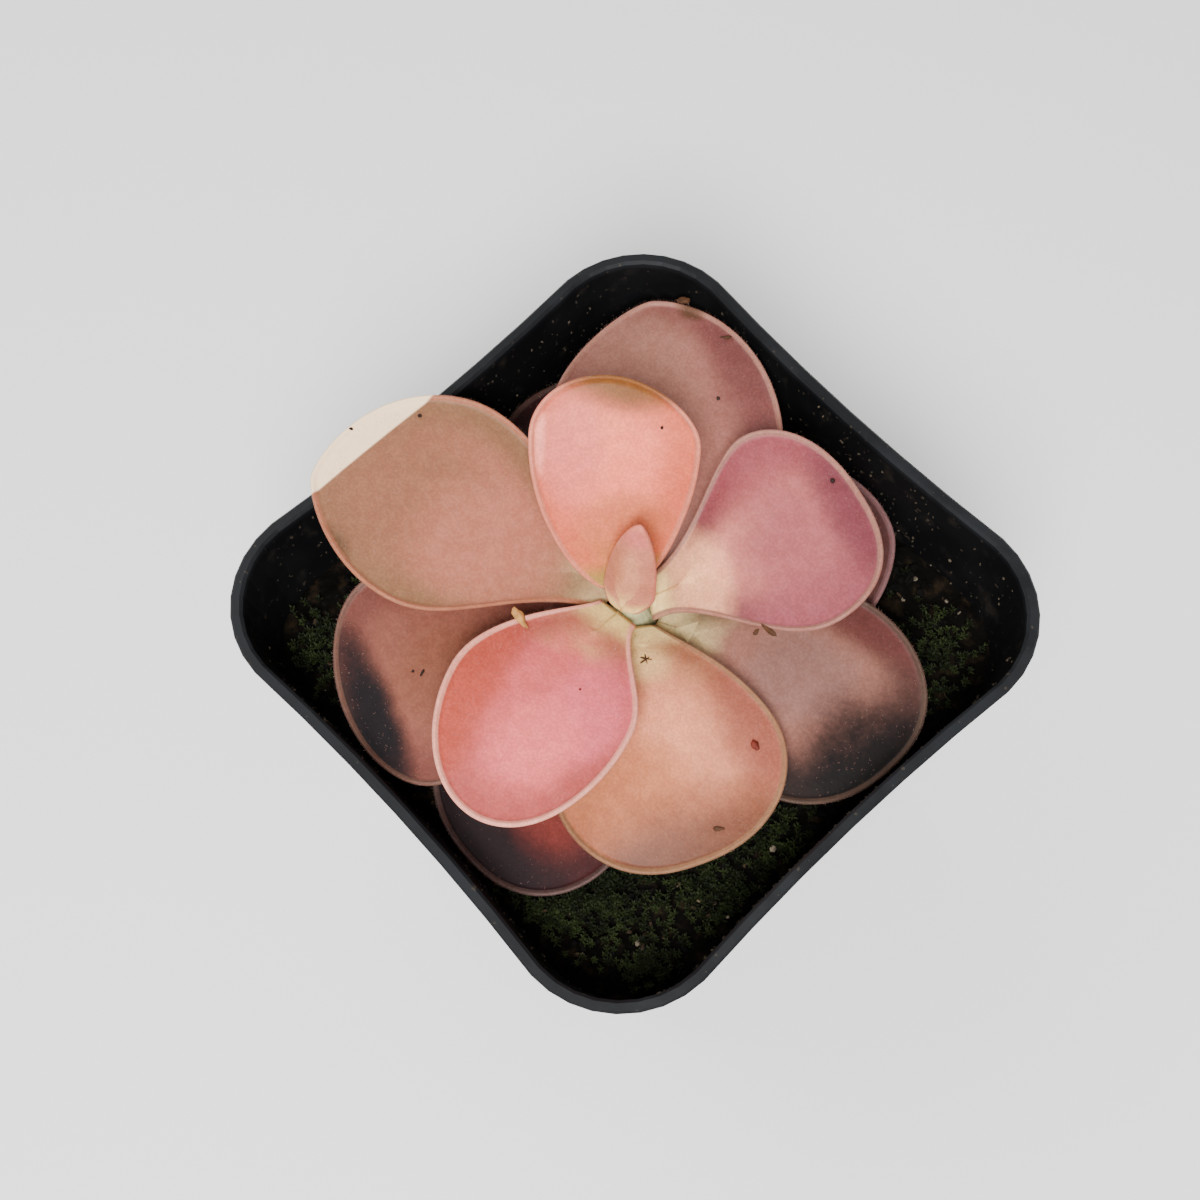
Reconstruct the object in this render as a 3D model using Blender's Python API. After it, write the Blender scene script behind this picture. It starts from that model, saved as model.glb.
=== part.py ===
"""A Mexican butterwort in a square nursery pot, at its real size in metres, +Z up.

The origin is the centre of the pot's flat underside, and the pot's sides lie along X and Y.
Lengths below are in millimetres and angles in degrees; MM turns them into metres.
"""

import math
from collections import namedtuple

import bmesh
import bpy
import numpy as np

MM = 0.001
WELD = 0.02
SHARP_ANGLE = 40.0

# Pot: a thin-walled moulded square pot, its sides bowed in a little between the round corners.
POT_MOUTH = 70.0
POT_BASE = 51.0
POT_HEIGHT = 65.0
MOUTH_CORNER = 11.8
BASE_CORNER = 8.5
SIDE_BOW = 0.9
WALL = 0.7
RIM_WIDTH = 1.4
RIM_DEPTH = 1.0
COLLAR_DEPTH = 9.0
COLLAR_STEP = 0.7
FLOOR = 1.2
FOOT = 1.5
FOOT_RING = 3.0
FOOT_CROSS = 5.0
DRAIN_RADIUS = 3.5
DRAIN_OFFSET = 10.5
NOTCH_WIDTH = 6.0
NOTCH_DEPTH = 1.05
EDGE_ROUND = 0.3
FOOT_ROUND = 0.8
FLOOR_ROUND = 1.0
COLLAR_SLOPE = 0.9
RIM_LIP = 0.25
CUT_MARGIN = 2.0
SIDE_STEPS = 6
CORNER_STEPS = 8

# Soil: it fills the pot to this far below the rim. Pieces that touch keep a small gap.
SOIL_DROP = 13.0
SOIL_ROUGH = 0.5
SOIL_RINGS = (0.86, 0.72, 0.58, 0.44, 0.3, 0.18, 0.0)
GAP = 0.3
SOIL_GAP = 0.42

# Crown: the short stem that carries the leaves and stands in a plain hole in the soil.
CROWN_X, CROWN_Y = -2.0, 1.5
CROWN_TOP = 62.0
CROWN_BOTTOM = 38.0
CROWN_SHOULDER = 54.0
CROWN_RADIUS = 3.0
CROWN_TIP = 0.7
CROWN_STEPS = 20
ROOT_RADIUS = 1.6

# Leaves: a spiral with the golden angle between one leaf and the next, youngest first.
GOLDEN_ANGLE = 137.5
FIRST_AZIMUTH = 4.0
FIRST_HEIGHT = 61.3
HEIGHT_STEP = 0.7
SEAT = 0.85
BASE_HALF = 2.4
NARROW_BASE = 0.27
BLADE_THICK = 1.1
EDGE_THICK = 0.8
THICK_INSET = 5.0
LIP_ANGLE = 72.0
OUTLINE_POINTS = 37

# Each leaf: turn off the spiral, length, width, pitch at the base and at the tip, sideways bend,
# share of the length where it is widest, pointedness of the tip (0.5 is round), shoulder of the
# wedge below the blade, width of the upturned edge, cup across the blade and roll to one side.
Leaf = namedtuple("Leaf", "turn length width rise droop bend widest tip shoulder lip cup roll")
LEAVES = (
    Leaf(-72, 13.2, 6.1, 108, 118, 0, 0.17, 0.60, 0.5, 0.5, 0.42, 0),
    Leaf(10, 24.5, 19.2, 56, 34, -30, 0.72, 0.53, 0.4, 1.5, 0.10, 0),
    Leaf(-1, 32.6, 21.3, 36, 4, 30, 0.54, 0.49, 0.8, 1.5, 0.06, 0),
    Leaf(0, 27.2, 24.4, 42, 0, 19, 0.68, 0.42, 1.2, 1.5, 0.06, 0),
    Leaf(5, 36.8, 25.9, 36, -2, 21, 0.61, 0.68, 0.9, 1.5, 0.06, 0),
    Leaf(-6, 30.1, 25.8, 34, -22, 12, 0.64, 0.42, 0.6, 1.5, -0.08, 0),
    Leaf(10, 35.6, 28.0, 30, -14, 30, 0.43, 0.66, 0.7, 1.5, 0.04, 0),
    Leaf(0, 31.6, 26.4, 20, -14, 2, 0.73, 0.51, 0.7, 1.5, 0.02, 0),
    Leaf(1, 31.9, 25.5, 20, -14, -27, 0.62, 0.42, 0.7, 1.5, 0.02, 0),
    Leaf(-11, 27.7, 22.5, 10, -10, 1, 0.61, 0.51, 0.7, 1.5, 0.02, 0),
    Leaf(-2, 30.2, 24.5, 5, -8, -28, 0.66, 0.44, 0.7, 1.5, 0.02, 0),
    Leaf(-5, 28.2, 24.4, 10, 3, -20, 0.56, 0.58, 0.7, 1.5, 0.02, 0),
)

# Colour and roughness of each material. The leaves go from the youngest to the oldest.
POT_FINISH = ((0.022, 0.024, 0.027), 0.45)
SOIL_FINISH = ((0.020, 0.014, 0.009), 0.95)
CROWN_FINISH = ((0.55, 0.55, 0.28), 0.6)
LEAF_ROUGHNESS = 0.42
LEAF_COLOURS = (
    (0.66, 0.47, 0.37), (0.70, 0.38, 0.34), (0.66, 0.34, 0.35), (0.58, 0.33, 0.35), (0.62, 0.42, 0.32),
    (0.64, 0.38, 0.31), (0.50, 0.31, 0.29), (0.48, 0.27, 0.25), (0.38, 0.27, 0.26), (0.42, 0.22, 0.23),
    (0.26, 0.13, 0.16), (0.22, 0.10, 0.12),
)


def clear_scene():
    for obj in list(bpy.data.objects):
        bpy.data.objects.remove(obj, do_unlink=True)


def material(name, colour, roughness):
    made = bpy.data.materials.new(name)
    made.use_nodes = True
    shader = made.node_tree.nodes["Principled BSDF"]
    shader.inputs["Base Color"].default_value = (*colour, 1.0)
    shader.inputs["Roughness"].default_value = roughness
    shader.inputs["Metallic"].default_value = 0.0
    return made


def add_plant():
    """The empty that all the pieces hang on, at the centre of the pot's underside."""
    plant = bpy.data.objects.new("potted_butterwort", None)
    bpy.context.scene.collection.objects.link(plant)
    return plant


def add_object(plant, name, points, faces, finish, place=(0, 0, 0), turn=0.0):
    """A piece from points in millimetres, placed and turned. Points that coincide are made one."""
    mesh = bpy.data.meshes.new(name)
    mesh.from_pydata([tuple(p) for p in np.asarray(points) * MM], [], faces)
    shape = bmesh.new()
    shape.from_mesh(mesh)
    bmesh.ops.remove_doubles(shape, verts=shape.verts, dist=WELD * MM)
    bmesh.ops.recalc_face_normals(shape, faces=shape.faces)
    shape.to_mesh(mesh)
    shape.free()
    mesh.materials.append(material(name, *finish))
    mesh.shade_smooth()
    mesh.set_sharp_from_angle(angle=math.radians(SHARP_ANGLE))
    obj = bpy.data.objects.new(name, mesh)
    bpy.context.scene.collection.objects.link(obj)
    obj.parent = plant
    obj.location = [MM * c for c in place]
    obj.rotation_euler.z = turn
    return obj


def turned_faces(rings, per_ring):
    """Quads between successive closed rings of points, and a face over each end ring."""
    faces = []
    for ring in range(rings - 1):
        low, high = ring * per_ring, (ring + 1) * per_ring
        for k in range(per_ring):
            following = (k + 1) % per_ring
            faces.append((low + k, low + following, high + following, high + k))
    faces.append(tuple(range(per_ring))[::-1])
    last = (rings - 1) * per_ring
    faces.append(tuple(range(last, last + per_ring)))
    return faces


def rounded_square(half, corner, bow, height):
    """One ring of points round the pot, anticlockwise, with its sides bowed in by bow."""
    flat = half - corner
    points = []
    for quarter in range(4):
        turn = quarter * math.pi / 2
        side = [(half - bow * (1 - (s / flat) ** 2), s)
                for s in np.linspace(-flat, flat, SIDE_STEPS + 1)]
        arc = [(flat + corner * math.cos(a), flat + corner * math.sin(a))
               for a in np.linspace(0, math.pi / 2, CORNER_STEPS + 1)[1:-1]]
        for x, y in side + arc:
            points.append((x * math.cos(turn) - y * math.sin(turn),
                           x * math.sin(turn) + y * math.cos(turn), height))
    return points


def outer_half(height):
    return POT_BASE / 2 + (POT_MOUTH / 2 - COLLAR_STEP - POT_BASE / 2) * height / POT_HEIGHT


def corner_at(height):
    return BASE_CORNER + (MOUTH_CORNER - BASE_CORNER) * height / POT_HEIGHT


def bow_at(height):
    return SIDE_BOW * height / POT_HEIGHT


def pot_ring(height, inset):
    """A ring of the pot's wall at this height, this far in from its outer face."""
    return rounded_square(outer_half(height) - inset, corner_at(height) - inset, bow_at(height), height)


def make_pot(plant):
    collar_low = POT_HEIGHT - COLLAR_DEPTH
    rim_under = POT_HEIGHT - RIM_DEPTH
    middle = POT_HEIGHT / 2
    floor_top = FOOT + FLOOR
    collar_face = RIM_LIP - COLLAR_STEP
    rim_inner = RIM_WIDTH - COLLAR_STEP
    rings = [
        pot_ring(0.0, FOOT_ROUND),
        pot_ring(FOOT_ROUND, 0.0),
        pot_ring(middle, 0.0),
        pot_ring(collar_low, 0.0),
        pot_ring(collar_low + COLLAR_SLOPE, collar_face),
        pot_ring(rim_under - EDGE_ROUND, collar_face),
        pot_ring(rim_under, -COLLAR_STEP),
        pot_ring(POT_HEIGHT - EDGE_ROUND, -COLLAR_STEP),
        pot_ring(POT_HEIGHT, EDGE_ROUND - COLLAR_STEP),
        pot_ring(POT_HEIGHT, rim_inner - EDGE_ROUND),
        pot_ring(POT_HEIGHT - EDGE_ROUND, rim_inner),
        pot_ring(rim_under - RIM_DEPTH, WALL),
        pot_ring(middle, WALL),
        pot_ring(floor_top + FLOOR_ROUND, WALL),
        pot_ring(floor_top, WALL + FLOOR_ROUND),
    ]
    faces = turned_faces(len(rings), len(rings[0]))
    pot = add_object(plant, "pot", np.concatenate(rings), faces, POT_FINISH)
    for cutter in underside_cutters():
        cut = pot.modifiers.new(cutter.name, "BOOLEAN")
        cut.operation = "DIFFERENCE"
        cut.object = cutter


def hide_cutter(name):
    obj = bpy.context.object
    obj.name = name
    obj.hide_render = True
    obj.display_type = "WIRE"
    return obj


def underside_cutters():
    """What is cut from the underside: four hollows that leave a ring and a cross to stand on,
    a drain hole in each hollow, and a channel out through the ring from each."""
    cutters = []
    side = POT_BASE / 2 - FOOT_RING - FOOT_CROSS / 2
    middle = FOOT_CROSS / 2 + side / 2
    for index, (sx, sy) in enumerate(((1, 1), (-1, 1), (-1, -1), (1, -1))):
        bpy.ops.mesh.primitive_cube_add(
            size=1, location=(sx * middle * MM, sy * middle * MM, (FOOT - CUT_MARGIN) / 2 * MM),
            scale=(side * MM, side * MM, (FOOT + CUT_MARGIN) * MM))
        cutters.append(hide_cutter(f"hollow_{index}"))
        bpy.ops.mesh.primitive_cylinder_add(
            vertices=24, radius=DRAIN_RADIUS * MM, depth=2 * (FLOOR + FOOT + CUT_MARGIN) * MM,
            location=(sx * DRAIN_OFFSET * MM, sy * DRAIN_OFFSET * MM, 0))
        cutters.append(hide_cutter(f"drain_{index}"))
    reach = POT_BASE / 2 - FOOT_RING / 2
    for index in range(4):
        turn = index * math.pi / 2
        x = reach * math.cos(turn) - DRAIN_OFFSET * math.sin(turn)
        y = reach * math.sin(turn) + DRAIN_OFFSET * math.cos(turn)
        bpy.ops.mesh.primitive_cube_add(
            size=1, location=(x * MM, y * MM, 0), rotation=(0, 0, turn),
            scale=(2 * (FOOT_RING + CUT_MARGIN) * MM, NOTCH_WIDTH * MM, NOTCH_DEPTH * 2 * MM))
        cutters.append(hide_cutter(f"channel_{index}"))
    return cutters


def soil_height(x, y):
    """The soil's rough top, from a few crossed waves."""
    rough = (math.sin(0.55 * x + 1.3 * math.sin(0.31 * y)) + math.sin(0.63 * y + 0.4 + math.sin(0.42 * x))
             + 0.7 * math.sin(1.1 * x - 0.9 * y + 2.0))
    return POT_HEIGHT - SOIL_DROP + SOIL_ROUGH * rough / 2.7


def make_soil(plant):
    """The soil fills the pot. A plain hole in its top takes the stem."""
    floor_z = FOOT + FLOOR + GAP
    hole = CROWN_RADIUS + GAP
    inset = WALL + SOIL_GAP
    edge = pot_ring(POT_HEIGHT - SOIL_DROP, inset)
    rings = [pot_ring(floor_z, inset + FLOOR_ROUND), pot_ring(floor_z + FLOOR_ROUND, inset), edge]
    for share in SOIL_RINGS:
        ring = []
        for x, y, _ in edge:
            dx, dy = x - CROWN_X, y - CROWN_Y
            reach = math.hypot(dx, dy)
            radius = hole + (reach - hole) * share
            px, py = CROWN_X + dx / reach * radius, CROWN_Y + dy / reach * radius
            ring.append((px, py, soil_height(px, py)))
        rings.append(ring)
    rings.append([(x, y, CROWN_BOTTOM - GAP) for x, y, _ in rings[-1]])
    add_object(plant, "soil", np.concatenate(rings), turned_faces(len(rings), len(edge)), SOIL_FINISH)


def crown_radius(height):
    """The stem is a blunt cone from its tip down to where the oldest leaf joins it."""
    share = (CROWN_TOP - height) / (CROWN_TOP - CROWN_SHOULDER)
    return CROWN_TIP + (CROWN_RADIUS - CROWN_TIP) * min(max(share, 0.0), 1.0)


def make_crown(plant):
    """The stem: it widens from the growing point to the oldest leaf and narrows to a root below."""
    profile = (
        (CROWN_BOTTOM, ROOT_RADIUS * 0.6), (CROWN_BOTTOM + 1.0, ROOT_RADIUS),
        (CROWN_BOTTOM + 9.0, CROWN_RADIUS), (CROWN_SHOULDER, CROWN_RADIUS),
        (CROWN_TOP - 0.6, crown_radius(CROWN_TOP - 0.6)), (CROWN_TOP, 0.4),
    )
    angles = np.linspace(0, 2 * math.pi, CROWN_STEPS, endpoint=False)
    points = [(radius * math.cos(a), radius * math.sin(a), height)
              for height, radius in profile for a in angles]
    add_object(plant, "crown", points, turned_faces(len(profile), CROWN_STEPS), CROWN_FINISH,
               place=(CROWN_X, CROWN_Y, 0))


def blade_outline(leaf, count):
    """count points round the flat blade, base at x 0 and tip at x = length, evenly spaced."""
    near = np.linspace(0, 0.9, 180)
    far = 1 - 0.1 * np.linspace(1, 0, 120)[1:] ** 2
    share = np.concatenate([near, far])
    rise = np.clip(share / leaf.widest, 0, 1)
    rise = (rise * rise * (3 - 2 * rise)) ** leaf.shoulder
    fall = np.clip((share - leaf.widest) / (1 - leaf.widest), 0, 1)
    base_half = min(BASE_HALF, NARROW_BASE * leaf.width)
    half = np.where(share < leaf.widest, base_half + (leaf.width / 2 - base_half) * rise,
                    leaf.width / 2 * (1 - fall ** 2) ** leaf.tip)
    left = np.column_stack([share * leaf.length, half])
    whole = np.concatenate([left, left[::-1][1:] * [1, -1]])
    along = np.r_[0, np.cumsum(np.hypot(*np.diff(whole, axis=0).T))]
    even = np.linspace(0, along[-1], count)
    return np.column_stack([np.interp(even, along, whole[:, k]) for k in (0, 1)])


def midrib_frames(leaf, x):
    """Where the midrib is at these distances from the base, and its along, side and up directions."""
    steps = 240
    share = np.linspace(0, 1, steps)
    pitch = np.radians(leaf.rise + (leaf.droop - leaf.rise) * share)
    swing = np.radians(leaf.bend * share)
    heading = np.column_stack([np.cos(pitch) * np.cos(swing), np.cos(pitch) * np.sin(swing), np.sin(pitch)])
    line = np.concatenate([[[0, 0, 0]], np.cumsum((heading[1:] + heading[:-1]) / 2, axis=0)])
    line *= leaf.length / (steps - 1)
    at = np.asarray(x) / leaf.length
    place = np.column_stack([np.interp(at, share, line[:, k]) for k in range(3)])
    pitch_at, swing_at = np.interp(at, share, pitch), np.interp(at, share, swing)
    along = np.column_stack([np.cos(pitch_at) * np.cos(swing_at), np.cos(pitch_at) * np.sin(swing_at),
                             np.sin(pitch_at)])
    level = np.column_stack([-np.sin(swing_at), np.cos(swing_at), np.zeros(len(at))])
    upward = np.cross(along, level)
    roll = np.radians(leaf.roll) * np.clip(at / 0.4, 0, 1)[:, None]
    side = level * np.cos(roll) + upward * np.sin(roll)
    return place, along, side, np.cross(along, side)


def blade_surface(leaf, flat):
    """Points of the blade's middle surface over flat points, with its along, across and normal."""
    place, along, side, up = midrib_frames(leaf, flat[:, 0])
    half = leaf.width / 2
    y = flat[:, 1]
    height = leaf.cup * y ** 2 / half
    slope = (2 * leaf.cup * y / half)[:, None]
    points = place + side * y[:, None] + up * height[:, None]
    across = side + up * slope
    across /= np.linalg.norm(across, axis=1)[:, None]
    normal = np.cross(along, across)
    return points, along, across, normal


def blade_ring(leaf, outline, inward):
    """The ring of the middle surface this far in from the edge: points and normals.
    Within the lip the surface curls up; spine points are where a ring has run out of room."""
    spine_x = np.minimum(outline[:, 0], leaf.length * leaf.widest)
    spine = np.column_stack([spine_x, np.zeros(len(outline))])
    reach = spine - outline
    room = np.maximum(np.hypot(*reach.T), 1e-6)[:, None]
    if inward >= leaf.lip:
        flat = outline + reach * np.minimum(inward / room, 1)
        points, _, _, normal = blade_surface(leaf, flat)
        return points, normal
    flat = outline + reach * np.minimum(leaf.lip / room, 1)
    points, along, across, normal = blade_surface(leaf, flat)
    outward = -reach / room
    outward = along * outward[:, :1] + across * outward[:, 1:]
    outward /= np.linalg.norm(outward, axis=1)[:, None]
    grown = np.clip(outline[:, :1] / (0.3 * leaf.length), 0.02, 1)
    curl = math.radians(LIP_ANGLE) * grown
    share = (leaf.lip - inward) / leaf.lip
    radius = leaf.lip / curl
    turned = curl * share
    points = points + outward * radius * np.sin(turned) + normal * radius * (1 - np.cos(turned))
    return points, normal * np.cos(turned) - outward * np.sin(turned)


def edge_directions(leaf, outline):
    """Outward directions in the blade at its edge, for the rounded rim of the leaf."""
    points, normals = blade_ring(leaf, outline, 0.0)
    inner, _ = blade_ring(leaf, outline, 0.05)
    outward = points - inner
    outward -= normals * np.sum(outward * normals, axis=1)[:, None]
    return outward / np.linalg.norm(outward, axis=1)[:, None]


def leaf_points(leaf, insets, count):
    """Rows of points over the blade: strips from the spine over the top, round the edge and back
    along the underside. insets are distances in from the edge, and the last lies on the spine."""
    outline = blade_outline(leaf, count)
    rims = [blade_ring(leaf, outline, inset) for inset in insets]
    depths = [EDGE_THICK + (BLADE_THICK - EDGE_THICK) * min(inset / THICK_INSET, 1.0) for inset in insets]
    layers = list(zip(rims, depths))
    rows = [points + normals * depth / 2 for (points, normals), depth in reversed(layers)]
    rows.append(rims[0][0] + edge_directions(leaf, outline) * EDGE_THICK / 2)
    rows += [points - normals * depth / 2 for (points, normals), depth in layers]
    return np.stack(rows, axis=1)


def leaf_faces(count, width):
    """Triangles over count strips of width points. Both faces are split along like diagonals,
    and the two ends of the base are closed across the leaf's thickness."""
    faces = []
    middle = (width - 1) / 2
    for i in range(count - 1):
        for j in range(width - 1):
            a, b = i * width + j, (i + 1) * width + j
            if (j + 0.5 < middle) == (i < (count - 1) / 2):
                faces += [(a, b, b + 1), (a, b + 1, a + 1)]
            else:
                faces += [(a, b, a + 1), (b, b + 1, a + 1)]
    last = (count - 1) * width
    for low in range((width - 1) // 2):
        high = width - 1 - low
        corners = dict.fromkeys((low, low + 1, high - 1, high))
        faces.append(tuple(corners))
        faces.append(tuple(last + k for k in reversed(corners)))
    return faces


def make_leaf(plant, order, leaf):
    azimuth = math.radians(FIRST_AZIMUTH + GOLDEN_ANGLE * order + leaf.turn)
    height = FIRST_HEIGHT - HEIGHT_STEP * order
    seat = crown_radius(height) + SEAT
    insets = (0.0, leaf.lip / 2, leaf.lip, leaf.width / 4, leaf.length)
    grid = leaf_points(leaf, insets, OUTLINE_POINTS)
    add_object(plant, f"leaf_{order + 1:02d}", grid.reshape(-1, 3), leaf_faces(*grid.shape[:2]),
               (LEAF_COLOURS[order], LEAF_ROUGHNESS),
               place=(CROWN_X + seat * math.cos(azimuth), CROWN_Y + seat * math.sin(azimuth), height),
               turn=azimuth)


def main():
    clear_scene()
    plant = add_plant()
    make_pot(plant)
    make_soil(plant)
    make_crown(plant)
    for order, leaf in enumerate(LEAVES):
        make_leaf(plant, order, leaf)


main()
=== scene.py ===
"""A butterwort in a square nursery pot, dressed over its solid frame.

Lengths are in metres. Leaf forms are worked out in millimetres and turned into metres at the end.
"""

import math
from collections import namedtuple

import bmesh
import bpy
import numpy as np
from bpy.props import FloatProperty, FloatVectorProperty, IntProperty, PointerProperty
from mathutils import Matrix, Vector, noise


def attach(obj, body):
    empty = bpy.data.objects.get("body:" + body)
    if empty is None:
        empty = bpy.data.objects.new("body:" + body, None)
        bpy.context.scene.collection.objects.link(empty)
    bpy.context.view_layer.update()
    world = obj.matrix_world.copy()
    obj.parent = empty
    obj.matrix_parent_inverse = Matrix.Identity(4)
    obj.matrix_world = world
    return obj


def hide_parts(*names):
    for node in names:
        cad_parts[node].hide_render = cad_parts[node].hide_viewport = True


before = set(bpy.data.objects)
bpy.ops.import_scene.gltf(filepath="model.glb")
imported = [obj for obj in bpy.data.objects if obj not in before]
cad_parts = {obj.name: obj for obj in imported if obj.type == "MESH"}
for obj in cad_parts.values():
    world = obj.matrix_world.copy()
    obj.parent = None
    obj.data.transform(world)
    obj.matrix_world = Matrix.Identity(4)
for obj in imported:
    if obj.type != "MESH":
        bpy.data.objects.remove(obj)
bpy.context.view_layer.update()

bl_info = {
    "name": "Potted butterwort",
    "version": (1, 0, 0),
    "blender": (4, 5, 0),
    "location": "View3D > Sidebar > Butterwort",
    "description": "Leaves, hairs, soil, moss and pot of a butterwort",
    "category": "Object",
}

MM = 0.001
RIM = 65.0
SOIL_TOP = 52.0
SOIL_HALF = 31.4
CROWN_X, CROWN_Y, CROWN_TOP, CROWN_SHOULDER = -2.0, 1.5, 62.0, 54.0
CROWN_RADIUS, CROWN_TIP = 3.0, 0.7
GOLDEN_ANGLE, FIRST_AZIMUTH = 137.5, 4.0
FIRST_HEIGHT, HEIGHT_STEP, SEAT = 61.3, 0.7, 0.85
BASE_HALF, NARROW_BASE = 2.4, 0.27
BLADE_THICK, EDGE_THICK, THICK_INSET = 1.1, 0.5, 5.0
LIP_ANGLE = 55.0
BLADE_FILL = 0.72

# The soil's top meets the pot's bowed wall. Its lower rings follow the pot's taper.
BED_HALF, BED_CORNER, BED_BOW = 32.3, 10.4, 0.72
SOIL_LOW, SOIL_LOW_HALF, SOIL_CORNER, SOIL_SKIRT = 3.6, 24.2, 9.0, 6.0

# The pot's wall from its foot to its mouth.
POT_FOOT_HALF, POT_MOUTH_HALF, POT_WALL = 25.5, 34.3, 0.7
POT_FOOT_CORNER, POT_CORNER_GROWTH, POT_BOW = 8.5, 3.3, 0.9

# One leaf's tip lies in bright light beyond a line of x, in metres.
LIT_LEAF, LIT_FROM, LIT_FULL = 4, -0.0321, -0.0324

# The camera looks at the middle of the rim, in metres.
RIM_MIDDLE = (-0.0027, -0.00209)
LAMPS = (
    ("key", (0.19, -0.20, 0.50), 0.18, 6.5),
    ("soft", (-0.35, -0.05, 0.50), 0.5, 2.0),
)

# The upturned edge is finer here than on the solid, so each leaf is a little shorter and narrower.
Leaf = namedtuple("Leaf", "turn length width rise droop bend widest tip shoulder lip cup ripple")
LEAVES = (
    Leaf(-72, 13.1, 6.0, 108, 118, 0, 0.17, 0.60, 0.5, 0.4, 0.42, 0.0),
    Leaf(10, 24.2, 18.7, 56, 34, -30, 0.72, 0.53, 0.4, 1.0, 0.10, 0.15),
    Leaf(-1, 32.3, 20.8, 36, 4, 30, 0.54, 0.49, 0.8, 1.1, 0.06, 0.18),
    Leaf(0, 26.9, 23.9, 42, 0, 19, 0.68, 0.42, 1.2, 0.9, 0.06, 0.2),
    Leaf(5, 36.5, 25.4, 36, -2, 21, 0.61, 0.68, 0.9, 1.0, 0.06, 0.2),
    Leaf(-6, 29.8, 25.3, 34, -22, 12, 0.64, 0.42, 0.6, 0.9, -0.08, 0.2),
    Leaf(10, 35.3, 27.5, 30, -14, 30, 0.43, 0.66, 0.7, 0.9, 0.04, 0.25),
    Leaf(0, 31.3, 25.9, 20, -14, 2, 0.73, 0.51, 0.7, 0.9, 0.02, 0.2),
    Leaf(1, 31.6, 25.0, 20, -14, -27, 0.62, 0.42, 0.7, 0.9, 0.02, 0.2),
    Leaf(-11, 27.4, 22.0, 10, -10, 1, 0.61, 0.51, 0.7, 0.9, 0.02, 0.1),
    Leaf(-2, 29.9, 24.0, 5, -8, -28, 0.66, 0.44, 0.7, 0.9, 0.02, 0.1),
    Leaf(-5, 27.9, 23.9, 10, 3, -20, 0.56, 0.58, 0.7, 0.9, 0.02, 0.1),
)

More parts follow.
